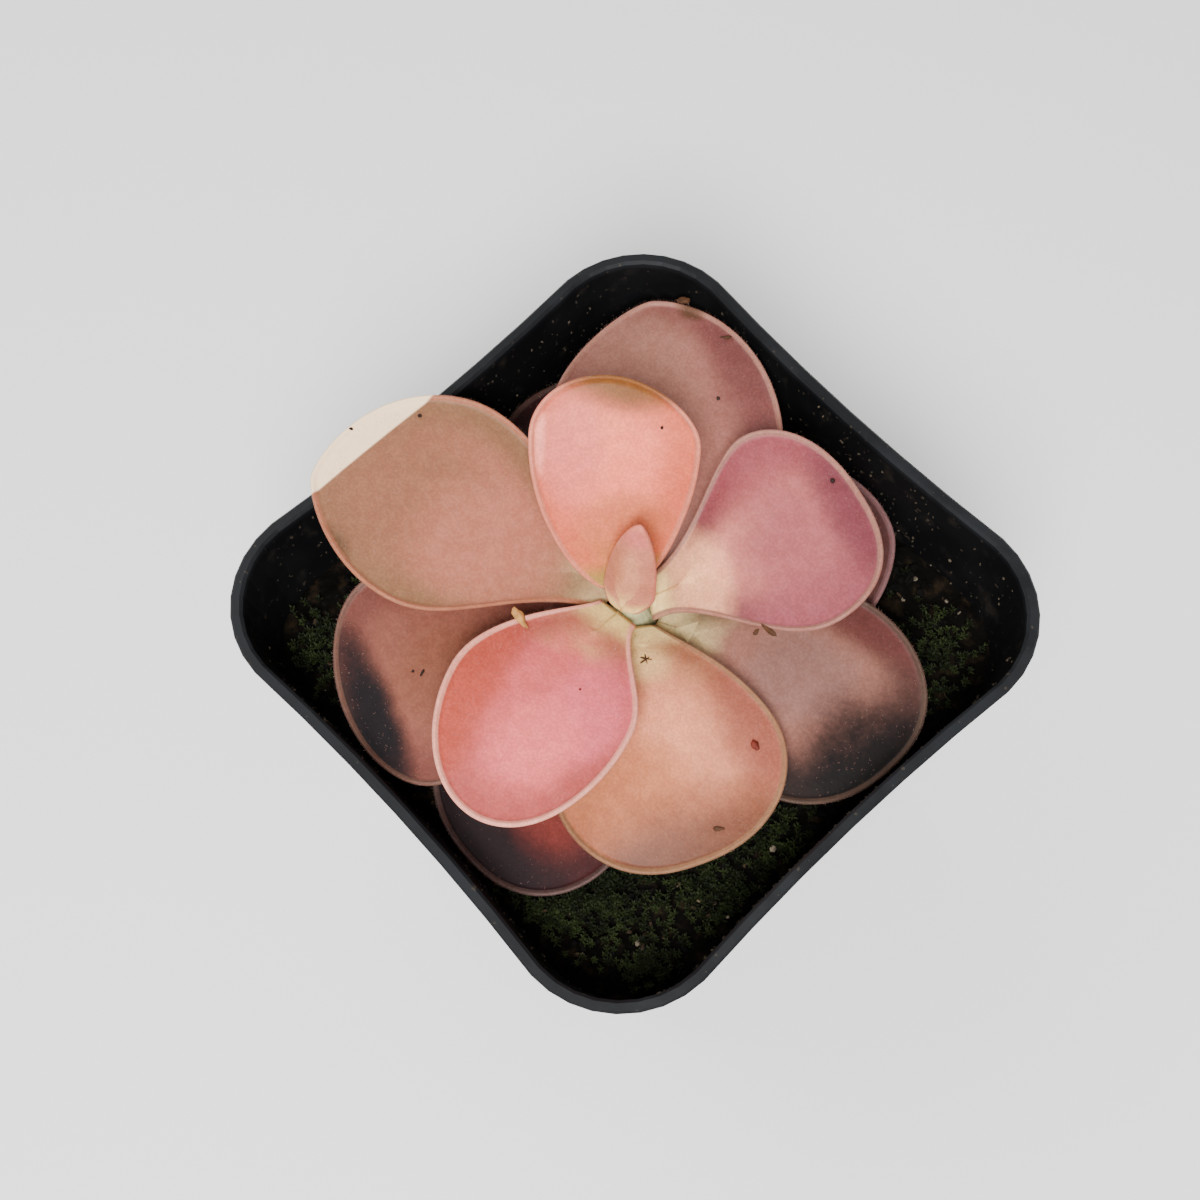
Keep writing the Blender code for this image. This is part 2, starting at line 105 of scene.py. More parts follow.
# Each leaf's colours: at the base, in the middle, towards the edge and on the pale margin, and
# how thickly its hairs stand. Each patch is colour, place along and across the leaf, its reach
# each way and its strength. Dry patches lie over the pale margin too.
# Some of these colours are painted light: the low leaves' dark colours are partly their own and partly
# painted shade, and the patches marked below are painted shadows of the pot's walls and painted highlights.
Tint = namedtuple("Tint", "base middle outer margin hairs patches dry")
TINTS = (
    Tint((0.76, 0.52, 0.20), (0.50, 0.22, 0.12), (0.44, 0.15, 0.10), (0.50, 0.15, 0.10), 0.5,
         (((0.50, 0.12, 0.11), 0.95, 0.00, 0.16, 1.00, 0.7),
          ((0.40, 0.15, 0.07), 0.45, -0.60, 0.30, 0.50, 0.6)), ()),
    Tint((0.32, 0.21, 0.05), (0.80, 0.18, 0.11), (0.52, 0.10, 0.05), (0.52, 0.17, 0.11), 1.0,
         (((0.64, 0.14, 0.11), 0.66, 0.50, 0.26, 0.40, 0.8),
          ((0.40, 0.12, 0.045), 0.32, -0.10, 0.16, 0.60, 0.7),
          # Painted highlight along the curled-up edge.
          ((0.84, 0.27, 0.20), 0.70, 0.98, 0.20, 0.16, 0.9)),
         (((0.17, 0.062, 0.015), 1.01, 0.05, 0.155, 0.90, 1.0),)),
    Tint((0.62, 0.45, 0.16), (0.55, 0.10, 0.10), (0.30, 0.06, 0.05), (0.66, 0.28, 0.21), 1.0,
         (((0.66, 0.12, 0.15), 0.48, 0.50, 0.26, 0.45, 0.8),
          # Painted highlight: a pale sheen across the middle of the leaf.
          ((0.76, 0.15, 0.15), 0.68, 0.15, 0.18, 0.45, 0.7),
          ((0.36, 0.055, 0.03), 0.58, -0.75, 0.34, 0.36, 0.7)), ()),
    Tint((0.85, 0.60, 0.24), (0.46, 0.15, 0.12), (0.12, 0.028, 0.036), (0.26, 0.12, 0.09), 0.8,
         (((0.90, 0.42, 0.23), 0.26, -0.05, 0.16, 0.50, 0.6),
          ((0.24, 0.05, 0.06), 0.66, 0.85, 0.46, 0.55, 0.8),
          ((0.25, 0.06, 0.07), 0.72, -0.20, 0.30, 0.60, 0.8),
          ((0.24, 0.055, 0.07), 0.64, -0.85, 0.32, 0.40, 0.7),
          ((0.13, 0.030, 0.040), 0.98, -0.20, 0.16, 0.90, 0.8)), ()),
    Tint((0.36, 0.24, 0.12), (0.32, 0.11, 0.07), (0.16, 0.085, 0.040), (0.30, 0.11, 0.06), 1.0,
         (((0.20, 0.085, 0.045), 0.74, 0.0, 0.30, 0.80, 0.8),
          ((0.36, 0.125, 0.080), 0.42, 0.25, 0.26, 0.60, 0.8),
          # Painted shadow of the pot's wall near the tip.
          ((0.04, 0.03, 0.015), 0.94, 0.80, 0.12, 0.36, 0.9)), ()),
    Tint((0.70, 0.50, 0.20), (0.50, 0.18, 0.10), (0.24, 0.075, 0.040), (0.20, 0.10, 0.05), 1.0,
         # Painted highlight: a pale sheen across the middle of the leaf.
         (((0.70, 0.26, 0.14), 0.52, -0.05, 0.20, 0.45, 0.8),
          ((0.25, 0.07, 0.05), 0.55, 0.85, 0.35, 0.36, 0.7),
          ((0.38, 0.12, 0.045), 0.70, -0.40, 0.20, 0.60, 0.7),
          # Painted shadow of the pot's wall across the tip.
          ((0.05, 0.020, 0.010), 1.02, 0.00, 0.20, 1.20, 0.9),
          ((0.18, 0.055, 0.026), 0.86, 0.10, 0.14, 0.80, 0.6)), ()),
    Tint((0.28, 0.12, 0.08), (0.24, 0.09, 0.07), (0.14, 0.045, 0.040), (0.26, 0.12, 0.09), 0.6,
         (((0.24, 0.11, 0.08), 0.66, 0.25, 0.36, 0.60, 0.8),
          ((0.10, 0.030, 0.028), 0.80, -0.75, 0.34, 0.40, 0.7)),
         (((0.06, 0.03, 0.012), 0.94, -0.38, 0.05, 0.18, 0.9),)),
    Tint((0.28, 0.10, 0.07), (0.18, 0.06, 0.040), (0.11, 0.032, 0.024), (0.11, 0.055, 0.04), 0.35,
         (((0.16, 0.055, 0.030), 0.62, 0.05, 0.20, 0.45, 0.8),
          # Painted shadow of the pot's wall over the outer part of the leaf.
          ((0.045, 0.024, 0.016), 1.03, 0.10, 0.085, 0.90, 0.8),
          ((0.005, 0.003, 0.004), 0.91, 0.20, 0.10, 0.90, 1.0)), ()),
    Tint((0.48, 0.36, 0.17), (0.23, 0.10, 0.075), (0.045, 0.017, 0.014), (0.06, 0.035, 0.025), 0.35,
         (((0.18, 0.09, 0.075), 0.56, 0.10, 0.20, 0.45, 0.8),
          ((0.09, 0.025, 0.022), 0.55, 0.95, 0.35, 0.36, 0.8),
          # Painted shadow of the pot's wall over the tip.
          ((0.004, 0.0025, 0.0025), 1.02, -0.30, 0.34, 1.10, 1.0),
          ((0.012, 0.007, 0.006), 0.74, -1.00, 0.32, 0.42, 0.95)), ()),
    Tint((0.02, 0.008, 0.006), (0.018, 0.006, 0.005), (0.02, 0.006, 0.006), (0.05, 0.025, 0.02), 0.3,
         (), ()),
    # A low leaf in the pot wall's shadow: its near-black colours and patches are partly its own dark colour
    # and partly painted shade.
    Tint((0.03, 0.008, 0.009), (0.13, 0.022, 0.017), (0.02, 0.005, 0.006), (0.07, 0.04, 0.035), 0.25,
         (((0.008, 0.002, 0.003), 0.97, 0.10, 0.21, 1.20, 1.0),
          ((0.008, 0.002, 0.003), 0.70, -0.75, 0.40, 0.70, 1.0)), ()),
    Tint((0.08, 0.035, 0.03), (0.07, 0.024, 0.02), (0.055, 0.018, 0.016), (0.15, 0.075, 0.075), 0.3,
         (), ()),
)

# Loose bits on the leaves: leaf, place on it in millimetres, length, width, heading and colour.
Bit = namedtuple("Bit", "leaf x y length width turn colour")
DARK, RUST = (0.020, 0.010, 0.008), (0.13, 0.020, 0.012)
TAN, BROWN = (0.50, 0.24, 0.07), (0.07, 0.030, 0.014)
BITS = (
    Bit(2, 9.2, -7.2, 2.9, 1.1, 62, TAN), Bit(3, 12.4, -9.6, 2.2, 0.55, 120, BROWN),
    Bit(3, 11.2, -9.2, 0.9, 0.5, 30, BROWN), Bit(5, 19.5, 9.4, 1.15, 0.85, 20, RUST),
    Bit(5, 27.0, 2.9, 1.1, 0.45, 70, BROWN), Bit(3, 25.0, 2.8, 0.55, 0.5, 0, DARK),
    Bit(6, 21.6, -6.3, 0.5, 0.4, 0, DARK), Bit(4, 33.3, -6.2, 0.45, 0.35, 0, DARK),
    Bit(4, 26.8, -9.3, 0.5, 0.4, 0, DARK), Bit(1, 19.6, -5.0, 0.4, 0.3, 0, DARK),
    Bit(7, 21.7, 0.1, 0.9, 0.3, 40, DARK), Bit(6, 34.4, -3.8, 1.6, 0.9, 70, BROWN),
    Bit(6, 28.6, -7.8, 1.3, 0.4, 80, BROWN), Bit(5, 5.7, 0.7, 1.5, 0.16, 0, BROWN),
    Bit(5, 5.7, 0.7, 1.5, 0.16, 55, BROWN), Bit(5, 5.9, 0.5, 1.3, 0.16, 115, BROWN),
    Bit(7, 22.6, -0.5, 0.35, 0.3, 0, DARK), Bit(2, 14.0, 3.0, 0.3, 0.25, 0, RUST),
)

# Loose bits on the soil: place, length, width, height, heading and colour.
CLODS = (
    (6.6, -30.2, 2.4, 1.6, 1.3, 30, (0.030, 0.018, 0.010)),
    (8.6, -29.6, 1.9, 1.2, 1.0, 80, (0.045, 0.028, 0.015)),
    (10.2, -30.0, 1.4, 0.9, 0.8, 10, (0.028, 0.016, 0.009)),
    (15.8, -28.9, 2.6, 0.5, 0.5, 65, (0.05, 0.032, 0.018)),
    (26.6, -15.2, 1.0, 0.8, 0.7, 20, (0.10, 0.075, 0.045)),
    (28.0, -14.2, 0.7, 0.5, 0.5, 60, (0.08, 0.06, 0.035)),
    (23.8, -15.6, 0.8, 0.6, 0.5, 60, (0.07, 0.05, 0.03)),
    (25.0, -12.4, 1.2, 0.7, 0.6, 0, (0.05, 0.03, 0.014)),
    (22.6, 13.8, 1.6, 0.9, 0.7, 40, (0.035, 0.022, 0.012)),
    (29.0, 10.0, 1.2, 0.9, 0.7, 75, (0.03, 0.018, 0.010)),
)


# Sizes and colours a user sets


class LeafSettings(bpy.types.PropertyGroup):
    rings: IntProperty(name="Edge points", description="Points round each leaf", default=141, min=41)
    sheen: FloatProperty(name="Sheen", description="Soft sheen of the fine hairs", default=0.03,
                         subtype="FACTOR")
    roughness: FloatProperty(name="Roughness", description="Roughness of the leaf skin", default=0.48,
                             subtype="FACTOR")
    flesh: FloatProperty(name="Flesh", description="How much light passes into the leaf", default=0.25,
                         subtype="FACTOR")
    lit_tip: FloatVectorProperty(name="Lit tip", description="Colour of the brightly lit tip of one leaf",
                                 default=(1.0, 0.72, 0.46), subtype="COLOR")


class HairSettings(bpy.types.PropertyGroup):
    per_area: FloatProperty(name="Hairs", description="Hairs on each square millimetre", default=3.2)
    height: FloatProperty(name="Height", description="Height of a hair", default=0.00034, unit="LENGTH")
    width: FloatProperty(name="Width", description="Width of a hair at its foot", default=0.00003,
                         unit="LENGTH")
    drop: FloatProperty(name="Droplet", description="Radius of a hair's droplet", default=0.000045,
                        unit="LENGTH")
    colour: FloatVectorProperty(name="Hair colour", description="Colour of the hairs",
                                default=(0.70, 0.36, 0.28), subtype="COLOR")


class PotSettings(bpy.types.PropertyGroup):
    plastic: FloatVectorProperty(name="Plastic", description="Colour of the pot", subtype="COLOR",
                                 default=(0.003, 0.003, 0.0035))
    # The rim's top colour: wear and a painted highlight.
    worn_and_highlit: FloatVectorProperty(name="Worn and highlit plastic", description="Colour of the rim", subtype="COLOR",
                              default=(0.008, 0.009, 0.0105))
    dirt: FloatVectorProperty(name="Dried dirt", description="Colour of specks on the walls",
                              subtype="COLOR", default=(0.052, 0.040, 0.028))
    specks: IntProperty(name="Specks", description="Dried specks on the inside of the wall", default=520)


class SoilSettings(bpy.types.PropertyGroup):
    peat: FloatVectorProperty(name="Peat", description="Colour of the soil", subtype="COLOR",
                              default=(0.0018, 0.0014, 0.0011))
    bark: FloatVectorProperty(name="Bark", description="Colour of the bark bits", subtype="COLOR",
                              default=(0.030, 0.019, 0.010))
    crumbs: IntProperty(name="Crumbs", description="Crumbs of peat on the soil", default=2600)
    shoots: IntProperty(name="Moss shoots", description="Shoots of moss", default=1500)
    moss: FloatVectorProperty(name="Moss", description="Colour of the moss", subtype="COLOR",
                              default=(0.011, 0.016, 0.004))


class StageSettings(bpy.types.PropertyGroup):
    azimuth: FloatProperty(name="Camera azimuth", default=math.radians(53.28), subtype="ANGLE",
                           description="Turn of the camera round the pot")
    elevation: FloatProperty(name="Camera elevation", default=math.radians(68.68), subtype="ANGLE",
                             description="Height of the camera above the horizon")
    roll: FloatProperty(name="Camera roll", default=math.radians(-6.43), subtype="ANGLE",
                        description="Turn of the picture")
    distance: FloatProperty(name="Camera distance", default=0.2109, unit="LENGTH",
                            description="From the camera to the middle of the rim")
    lens: FloatProperty(name="Lens", default=57.9, description="Focal length in millimetres")
    key: FloatProperty(name="Key light", default=1.0, description="Strength of the main soft light")
    fill: FloatProperty(name="Room light", default=0.45, description="Strength of the light all round")


SETTINGS = {
    "bw_leaf": LeafSettings, "bw_hair": HairSettings, "bw_pot": PotSettings, "bw_soil": SoilSettings,
    "bw_stage": StageSettings,
}


# Materials


def node(tree, kind, **values):
    """A shader node. Values whose names are sockets go to the sockets, the others to the node."""
    made = tree.nodes.new(kind)
    for key, value in values.items():
        socket = made.inputs.get(key.replace("_", " ").title()) if key[0].islower() else None
        if hasattr(made, key):
            setattr(made, key, value)
        elif socket is not None:
            socket.default_value = value
        else:
            raise KeyError(f"{kind} has no {key}")
    return made


def link(tree, start, end):
    tree.links.new(start, end)


def new_group(name, inputs, outputs):
    """A shader node group with these named sockets, and its input and output nodes."""
    group = bpy.data.node_groups.new(name, "ShaderNodeTree")
    for label, kind, value in inputs:
        socket = group.interface.new_socket(label, in_out="INPUT", socket_type=f"NodeSocket{kind}")
        if value is not None:
            socket.default_value = value
    for label, kind in outputs:
        group.interface.new_socket(label, in_out="OUTPUT", socket_type=f"NodeSocket{kind}")
    return group, group.nodes.new("NodeGroupInput"), group.nodes.new("NodeGroupOutput")


def place_group(tree, name, **values):
    made = tree.nodes.new("ShaderNodeGroup")
    made.node_tree = bpy.data.node_groups[name]
    for key, value in values.items():
        made.inputs[key.replace("_", " ").capitalize()].default_value = value
    return made


def make_mottle():
    """Blotches: a mask that varies over the surface between 0 and 1."""
    group, given, out = new_group("mottle", (("Scale", "Float", 400.0), ("Detail", "Float", 3.0),
                                             ("Low", "Float", 0.4), ("High", "Float", 0.6)),
                                  (("Mask", "Float"),))
    place = node(group, "ShaderNodeTexCoord")
    cloud = node(group, "ShaderNodeTexNoise")
    spread = node(group, "ShaderNodeMapRange", interpolation_type="SMOOTHSTEP")
    link(group, place.outputs["Object"], cloud.inputs["Vector"])
    link(group, given.outputs["Scale"], cloud.inputs["Scale"])
    link(group, given.outputs["Detail"], cloud.inputs["Detail"])
    link(group, cloud.outputs["Fac"], spread.inputs["Value"])
    link(group, given.outputs["Low"], spread.inputs["From Min"])
    link(group, given.outputs["High"], spread.inputs["From Max"])
    link(group, spread.outputs["Result"], out.inputs["Mask"])


def make_grain():
    """A fine bumpy surface: a normal."""
    group, given, out = new_group("grain", (("Scale", "Float", 2500.0), ("Depth", "Float", 0.3),
                                            ("Distance", "Float", 0.0001)), (("Normal", "Vector"),))
    place = node(group, "ShaderNodeTexCoord")
    cloud = node(group, "ShaderNodeTexNoise", detail=3.0)
    bump = node(group, "ShaderNodeBump")
    link(group, place.outputs["Object"], cloud.inputs["Vector"])
    link(group, given.outputs["Scale"], cloud.inputs["Scale"])
    link(group, given.outputs["Depth"], bump.inputs["Strength"])
    link(group, given.outputs["Distance"], bump.inputs["Distance"])
    link(group, cloud.outputs["Fac"], bump.inputs["Height"])
    link(group, bump.outputs["Normal"], out.inputs["Normal"])


def make_patch():
    """A soft oval of another colour at a place along and across a leaf."""
    group, given, out = new_group("leaf_patch", (
        ("Colour", "Color", None), ("Patch colour", "Color", None), ("Along", "Float", 0.0),
        ("Across", "Float", 0.0), ("Centre along", "Float", 0.5), ("Centre across", "Float", 0.0),
        ("Reach along", "Float", 0.3), ("Reach across", "Float", 0.3), ("Strength", "Float", 1.0),
        ("Ragged", "Float", 0.0)), (("Colour", "Color"),))

    def arithmetic(operation, first, second):
        made = node(group, "ShaderNodeMath", operation=operation)
        for slot, value in zip(made.inputs, (first, second)):
            if isinstance(value, float):
                slot.default_value = value
            else:
                link(group, value, slot)
        return made.outputs["Value"]

    squares = []
    for side in ("along", "across"):
        offset = arithmetic("SUBTRACT", given.outputs[side.capitalize()], given.outputs[f"Centre {side}"])
        share = arithmetic("DIVIDE", offset, given.outputs[f"Reach {side}"])
        squares.append(arithmetic("MULTIPLY", share, share))
    reach = arithmetic("ADD", *squares)
    reach = arithmetic("ADD", reach, given.outputs["Ragged"])
    fade = node(group, "ShaderNodeMapRange", interpolation_type="SMOOTHSTEP")
    link(group, reach, fade.inputs["Value"])
    fade.inputs["From Min"].default_value = 1.55
    fade.inputs["From Max"].default_value = 0.15
    amount = arithmetic("MULTIPLY", fade.outputs["Result"], given.outputs["Strength"])
    mix = node(group, "ShaderNodeMix", data_type="RGBA")
    link(group, amount, mix.inputs[0])
    link(group, given.outputs["Colour"], mix.inputs[6])
    link(group, given.outputs["Patch colour"], mix.inputs[7])
    link(group, mix.outputs[2], out.inputs["Colour"])


def new_material(name):
    made = bpy.data.materials.new(name)
    made.use_nodes = True
    tree = made.node_tree
    return made, tree, tree.nodes["Principled BSDF"]


def mix_colour(tree, amount, first, second, blend="MIX"):
    """The colour socket of first and second mixed. Each is a colour or a socket."""
    made = node(tree, "ShaderNodeMix", data_type="RGBA", blend_type=blend)
    for index, value in ((0, amount), (6, first), (7, second)):
        if isinstance(value, bpy.types.NodeSocket):
            link(tree, value, made.inputs[index])
        else:
            made.inputs[index].default_value = value if index == 0 else (*value[:3], 1.0)
    return made.outputs[2]


def ramp(tree, value, low, high, start=0.0, end=1.0):
    """The value spread smoothly from low..high onto start..end."""
    made = node(tree, "ShaderNodeMapRange", interpolation_type="SMOOTHSTEP")
    link(tree, value, made.inputs["Value"])
    for label, limit in (("From Min", low), ("From Max", high), ("To Min", start), ("To Max", end)):
        if isinstance(limit, bpy.types.NodeSocket):
            link(tree, limit, made.inputs[label])
        else:
            made.inputs[label].default_value = limit
    return made.outputs["Result"]


def add_share(tree, value, share, base):
    """The base with a share of the value added."""
    made = node(tree, "ShaderNodeMath", operation="MULTIPLY_ADD")
    link(tree, value, made.inputs[0])
    made.inputs[1].default_value = share
    link(tree, base, made.inputs[2])
    return made.outputs[0]


def mottle(tree, **values):
    return place_group(tree, "mottle", **values).outputs["Mask"]


def make_leaf_zones():
    """A leaf's three zones of colour, and a value that makes the edges of its patches ragged."""
    group, given, out = new_group("leaf_zones", (
        ("Base", "Color", None), ("Middle", "Color", None), ("Outer", "Color", None),
        ("Along", "Float", 0.0), ("Edge", "Float", 0.0)), (("Colour", "Color"), ("Ragged", "Float")))
    cloud = mottle(group, Scale=170.0, Low=0.30, High=0.70)
    fine = mottle(group, Scale=1500.0, Detail=2.0, Low=0.35, High=0.65)
    wavy = add_share(group, cloud, 0.12, given.outputs["Along"])
    colour = mix_colour(group, ramp(group, wavy, 0.10, 0.42), given.outputs["Base"], given.outputs["Middle"])
    near_edge = ramp(group, given.outputs["Edge"], 6.5, 1.5, 0.0, 0.85)
    link(group, mix_colour(group, near_edge, colour, given.outputs["Outer"]), out.inputs["Colour"])
    coarse = ramp(group, cloud, 0.0, 1.0, -0.11, 0.09)
    link(group, add_share(group, fine, 0.08, coarse), out.inputs["Ragged"])


def make_leaf_margin():
    """The leaf's foot in its base colour and its upturned edge in the margin's."""
    group, given, out = new_group("leaf_margin", (
        ("Colour", "Color", None), ("Base", "Color", None), ("Margin", "Color", None),
        ("Along", "Float", 0.0), ("Edge", "Float", 0.0)), (("Colour", "Color"),))
    at_foot = ramp(group, given.outputs["Along"], 0.16, 0.05)
    footed = mix_colour(group, at_foot, given.outputs["Colour"], given.outputs["Base"])
    at_edge = ramp(group, given.outputs["Edge"], 0.55, 0.20, 0.0, 0.9)
    link(group, mix_colour(group, at_edge, footed, given.outputs["Margin"]), out.inputs["Colour"])


def make_fuzz():
    """A pale fuzz and darker dust over a colour, each by its own amount."""
    group, given, out = new_group("fuzz", (("Colour", "Color", None), ("Fuzz", "Float", 0.75),
                                           ("Dust", "Float", 0.35)), (("Colour", "Color"),))
    colour = given.outputs["Colour"]
    layers = ((mottle(group, Scale=3200.0, Detail=2.0, Low=0.42, High=0.62), "Fuzz", (1.22, 1.20, 1.20)),
              (mottle(group, Scale=700.0, Detail=4.0, Low=0.60, High=0.40), "Dust", (0.80, 0.70, 0.68)))
    for mask, amount, tone in layers:
        share = ramp(group, mask, 0.0, 1.0, 0.0, given.outputs[amount])
        colour = mix_colour(group, share, colour, tone, "MULTIPLY")
    link(group, colour, out.inputs["Colour"])


def make_varied_tone():
    """A colour that wanders between dark and light, with deeper places."""
    group, given, out = new_group("varied_tone", (
        ("Dark", "Color", None), ("Light", "Color", None), ("Deep", "Color", None),
        ("Spread", "Float", 0.3)), (("Colour", "Color"),))
    cloud = mottle(group, Scale=900.0, Detail=3.0, Low=0.35, High=0.65)
    broad = mottle(group, Scale=190.0, Detail=2.0, Low=0.35, High=0.65)
    shaded = mix_colour(group, cloud, given.outputs["Dark"], given.outputs["Light"])
    dim = ramp(group, broad, 0.0, 1.0, given.outputs["Spread"], 0.0)
    link(group, mix_colour(group, dim, shaded, given.outputs["Deep"]), out.inputs["Colour"])


def leaf_material(order, settings):
    """Skin of one leaf: pale at the base, flushed towards the edge, with a pale margin. Some of its patches
    are painted shadows and painted highlights.
    """
    tint = TINTS[order]
    made, tree, shader = new_material(f"leaf_skin_{order + 1:02d}")
    along, across, edge = (node(tree, "ShaderNodeAttribute", attribute_name=name).outputs["Fac"]
                           for name in ("along", "across", "edge"))
    zones = place_group(tree, "leaf_zones", Base=(*tint.base, 1.0), Middle=(*tint.middle, 1.0),
                        Outer=(*tint.outer, 1.0))
    link(tree, along, zones.inputs["Along"])
    link(tree, edge, zones.inputs["Edge"])

    def lay(below, patches):
        for patch, at_along, at_across, reach_along, reach_across, strength in patches:
            oval = place_group(tree, "leaf_patch", Patch_colour=(*patch, 1.0), Centre_along=at_along,
                               Centre_across=at_across, Reach_along=reach_along,
                               Reach_across=reach_across, Strength=strength)
            link(tree, below, oval.inputs["Colour"])
            link(tree, along, oval.inputs["Along"])
            link(tree, across, oval.inputs["Across"])
            link(tree, zones.outputs["Ragged"], oval.inputs["Ragged"])
            below = oval.outputs["Colour"]
        return below

    margin = place_group(tree, "leaf_margin", Base=(*tint.base, 1.0), Margin=(*tint.margin, 1.0))
    link(tree, lay(zones.outputs["Colour"], tint.patches), margin.inputs["Colour"])
    link(tree, along, margin.inputs["Along"])
    link(tree, edge, margin.inputs["Edge"])
    fuzz = place_group(tree, "fuzz", Fuzz=0.75, Dust=0.35)
    link(tree, lay(margin.outputs["Colour"], tint.dry), fuzz.inputs["Colour"])
    colour = fuzz.outputs["Colour"]
    if order == LIT_LEAF:
        place = node(tree, "ShaderNodeTexCoord")
        parts = node(tree, "ShaderNodeSeparateXYZ")
        link(tree, place.outputs["Object"], parts.inputs[0])
        lit = ramp(tree, parts.outputs["X"], LIT_FROM, LIT_FULL, 0.0, 0.9)
        colour = mix_colour(tree, lit, colour, settings.lit_tip)
    link(tree, colour, shader.inputs["Base Color"])
    link(tree, place_group(tree, "grain", Scale=2600.0, Depth=0.35, Distance=0.00006).outputs["Normal"],
         shader.inputs["Normal"])
    shader.inputs["Roughness"].default_value = settings.roughness
    shader.inputs["Subsurface Weight"].default_value = settings.flesh
    shader.inputs["Subsurface Radius"].default_value = (1.0, 0.35, 0.25)
    shader.inputs["Subsurface Scale"].default_value = 0.0012
    shader.inputs["Specular IOR Level"].default_value = 0.14
    shader.inputs["Sheen Weight"].default_value = settings.sheen
    shader.inputs["Sheen Roughness"].default_value = 0.45
    shader.inputs["Sheen Tint"].default_value = (1.0, 0.88, 0.84, 1.0)
    return made


# Leaf form


def blade_outline(leaf, count):
    """count points round the flat blade, base at x 0 and tip at x = length, evenly spaced."""
    near = np.linspace(0, 0.9, 180)
    far = 1 - 0.1 * np.linspace(1, 0, 120)[1:] ** 2
    share = np.concatenate([near, far])
    rise = np.clip(share / leaf.widest, 0, 1)
    rise = (rise * rise * (3 - 2 * rise)) ** leaf.shoulder
    fall = np.clip((share - leaf.widest) / (1 - leaf.widest), 0, 1)
    base_half = min(BASE_HALF, NARROW_BASE * leaf.width)
    half = np.where(share < leaf.widest, base_half + (leaf.width / 2 - base_half) * rise,
                    leaf.width / 2 * (1 - fall ** 2) ** leaf.tip)
    left = np.column_stack([share * leaf.length, half])
    whole = np.concatenate([left, left[::-1][1:] * [1, -1]])
    along = np.r_[0, np.cumsum(np.hypot(*np.diff(whole, axis=0).T))]
    even = np.linspace(0, along[-1], count)
    return np.column_stack([np.interp(even, along, whole[:, k]) for k in (0, 1)])


def blade_surface(leaf, flat):
    """Points of the blade's middle surface over flat points."""
    steps = 480
    share = np.linspace(0, 1, steps)
    pitch = np.radians(leaf.rise + (leaf.droop - leaf.rise) * share)
    swing = np.radians(leaf.bend * share)
    heading = np.column_stack([np.cos(pitch) * np.cos(swing), np.cos(pitch) * np.sin(swing), np.sin(pitch)])
    line = np.concatenate([[[0, 0, 0]], np.cumsum((heading[1:] + heading[:-1]) / 2, axis=0)])
    line *= leaf.length / (steps - 1)
    at = flat[:, 0] / leaf.length
    inside = np.clip(at, 0, 1)
    place = np.column_stack([np.interp(inside, share, line[:, k]) for k in range(3)])
    pitch, swing = (np.radians(leaf.rise + (leaf.droop - leaf.rise) * inside),
                    np.radians(leaf.bend * inside))
    along = np.column_stack([np.cos(pitch) * np.cos(swing), np.cos(pitch) * np.sin(swing), np.sin(pitch)])
    side = np.column_stack([-np.sin(swing), np.cos(swing), np.zeros(len(at))])
    upward = np.cross(along, side)
    place = place + along * ((at - inside) * leaf.length)[:, None]
    half = leaf.width / 2
    y = flat[:, 1]
    spread = np.clip(np.abs(y) / half, 0, 1.2)
    wave = np.sin(7.1 * at + 1.7 * leaf.length) + 0.6 * np.sin(12.7 * at + 3.1 * leaf.width + np.sign(y))
    groove = -0.28 * np.exp(-(y / 1.3) ** 2) * np.clip(1.1 - 1.6 * at, 0, 1) * np.clip(at / 0.1, 0, 1)
    height = leaf.cup * y ** 2 / half + leaf.ripple * wave * spread ** 2 * np.clip(at / 0.25, 0, 1) + groove
    return place + side * y[:, None] + upward * height[:, None]


def surface_frame(leaf, flat):
    """The surface's points, its unit directions along x and y, and its normal."""
    step = 0.2
    points = blade_surface(leaf, flat)
    ahead = blade_surface(leaf, flat + [step, 0]) - blade_surface(leaf, flat - [step, 0])
    aside = blade_surface(leaf, flat + [0, step]) - blade_surface(leaf, flat - [0, step])
    ahead /= np.linalg.norm(ahead, axis=1)[:, None]
    aside /= np.linalg.norm(aside, axis=1)[:, None]
    normal = np.cross(ahead, aside)
    return points, ahead, aside, normal / np.linalg.norm(normal, axis=1)[:, None]


def blade_ring(leaf, outline, inward):
    """The ring of the middle surface this far in from the edge: points, normals and flat points.
    Within the lip the surface curls up."""
    spine = np.column_stack([np.minimum(outline[:, 0], leaf.length * leaf.widest), np.zeros(len(outline))])
    reach = spine - outline
    room = np.maximum(np.hypot(*reach.T), 1e-6)[:, None]
    flat = outline + reach * np.minimum(max(inward, leaf.lip) / room, 1)
    points, ahead, aside, normal = surface_frame(leaf, flat)
    if inward >= leaf.lip:
        return points, normal, flat
    outward = -reach / room
    outward = ahead * outward[:, :1] + aside * outward[:, 1:]
    outward /= np.linalg.norm(outward, axis=1)[:, None]
    grown = np.clip(outline[:, :1] / (0.3 * leaf.length), 0.02, 1)
    curl = math.radians(LIP_ANGLE) * grown
    radius = leaf.lip / curl
    turned = curl * (leaf.lip - inward) / leaf.lip
    points = points + outward * radius * np.sin(turned) + normal * radius * (1 - np.cos(turned))
    return points, normal * np.cos(turned) - outward * np.sin(turned), flat


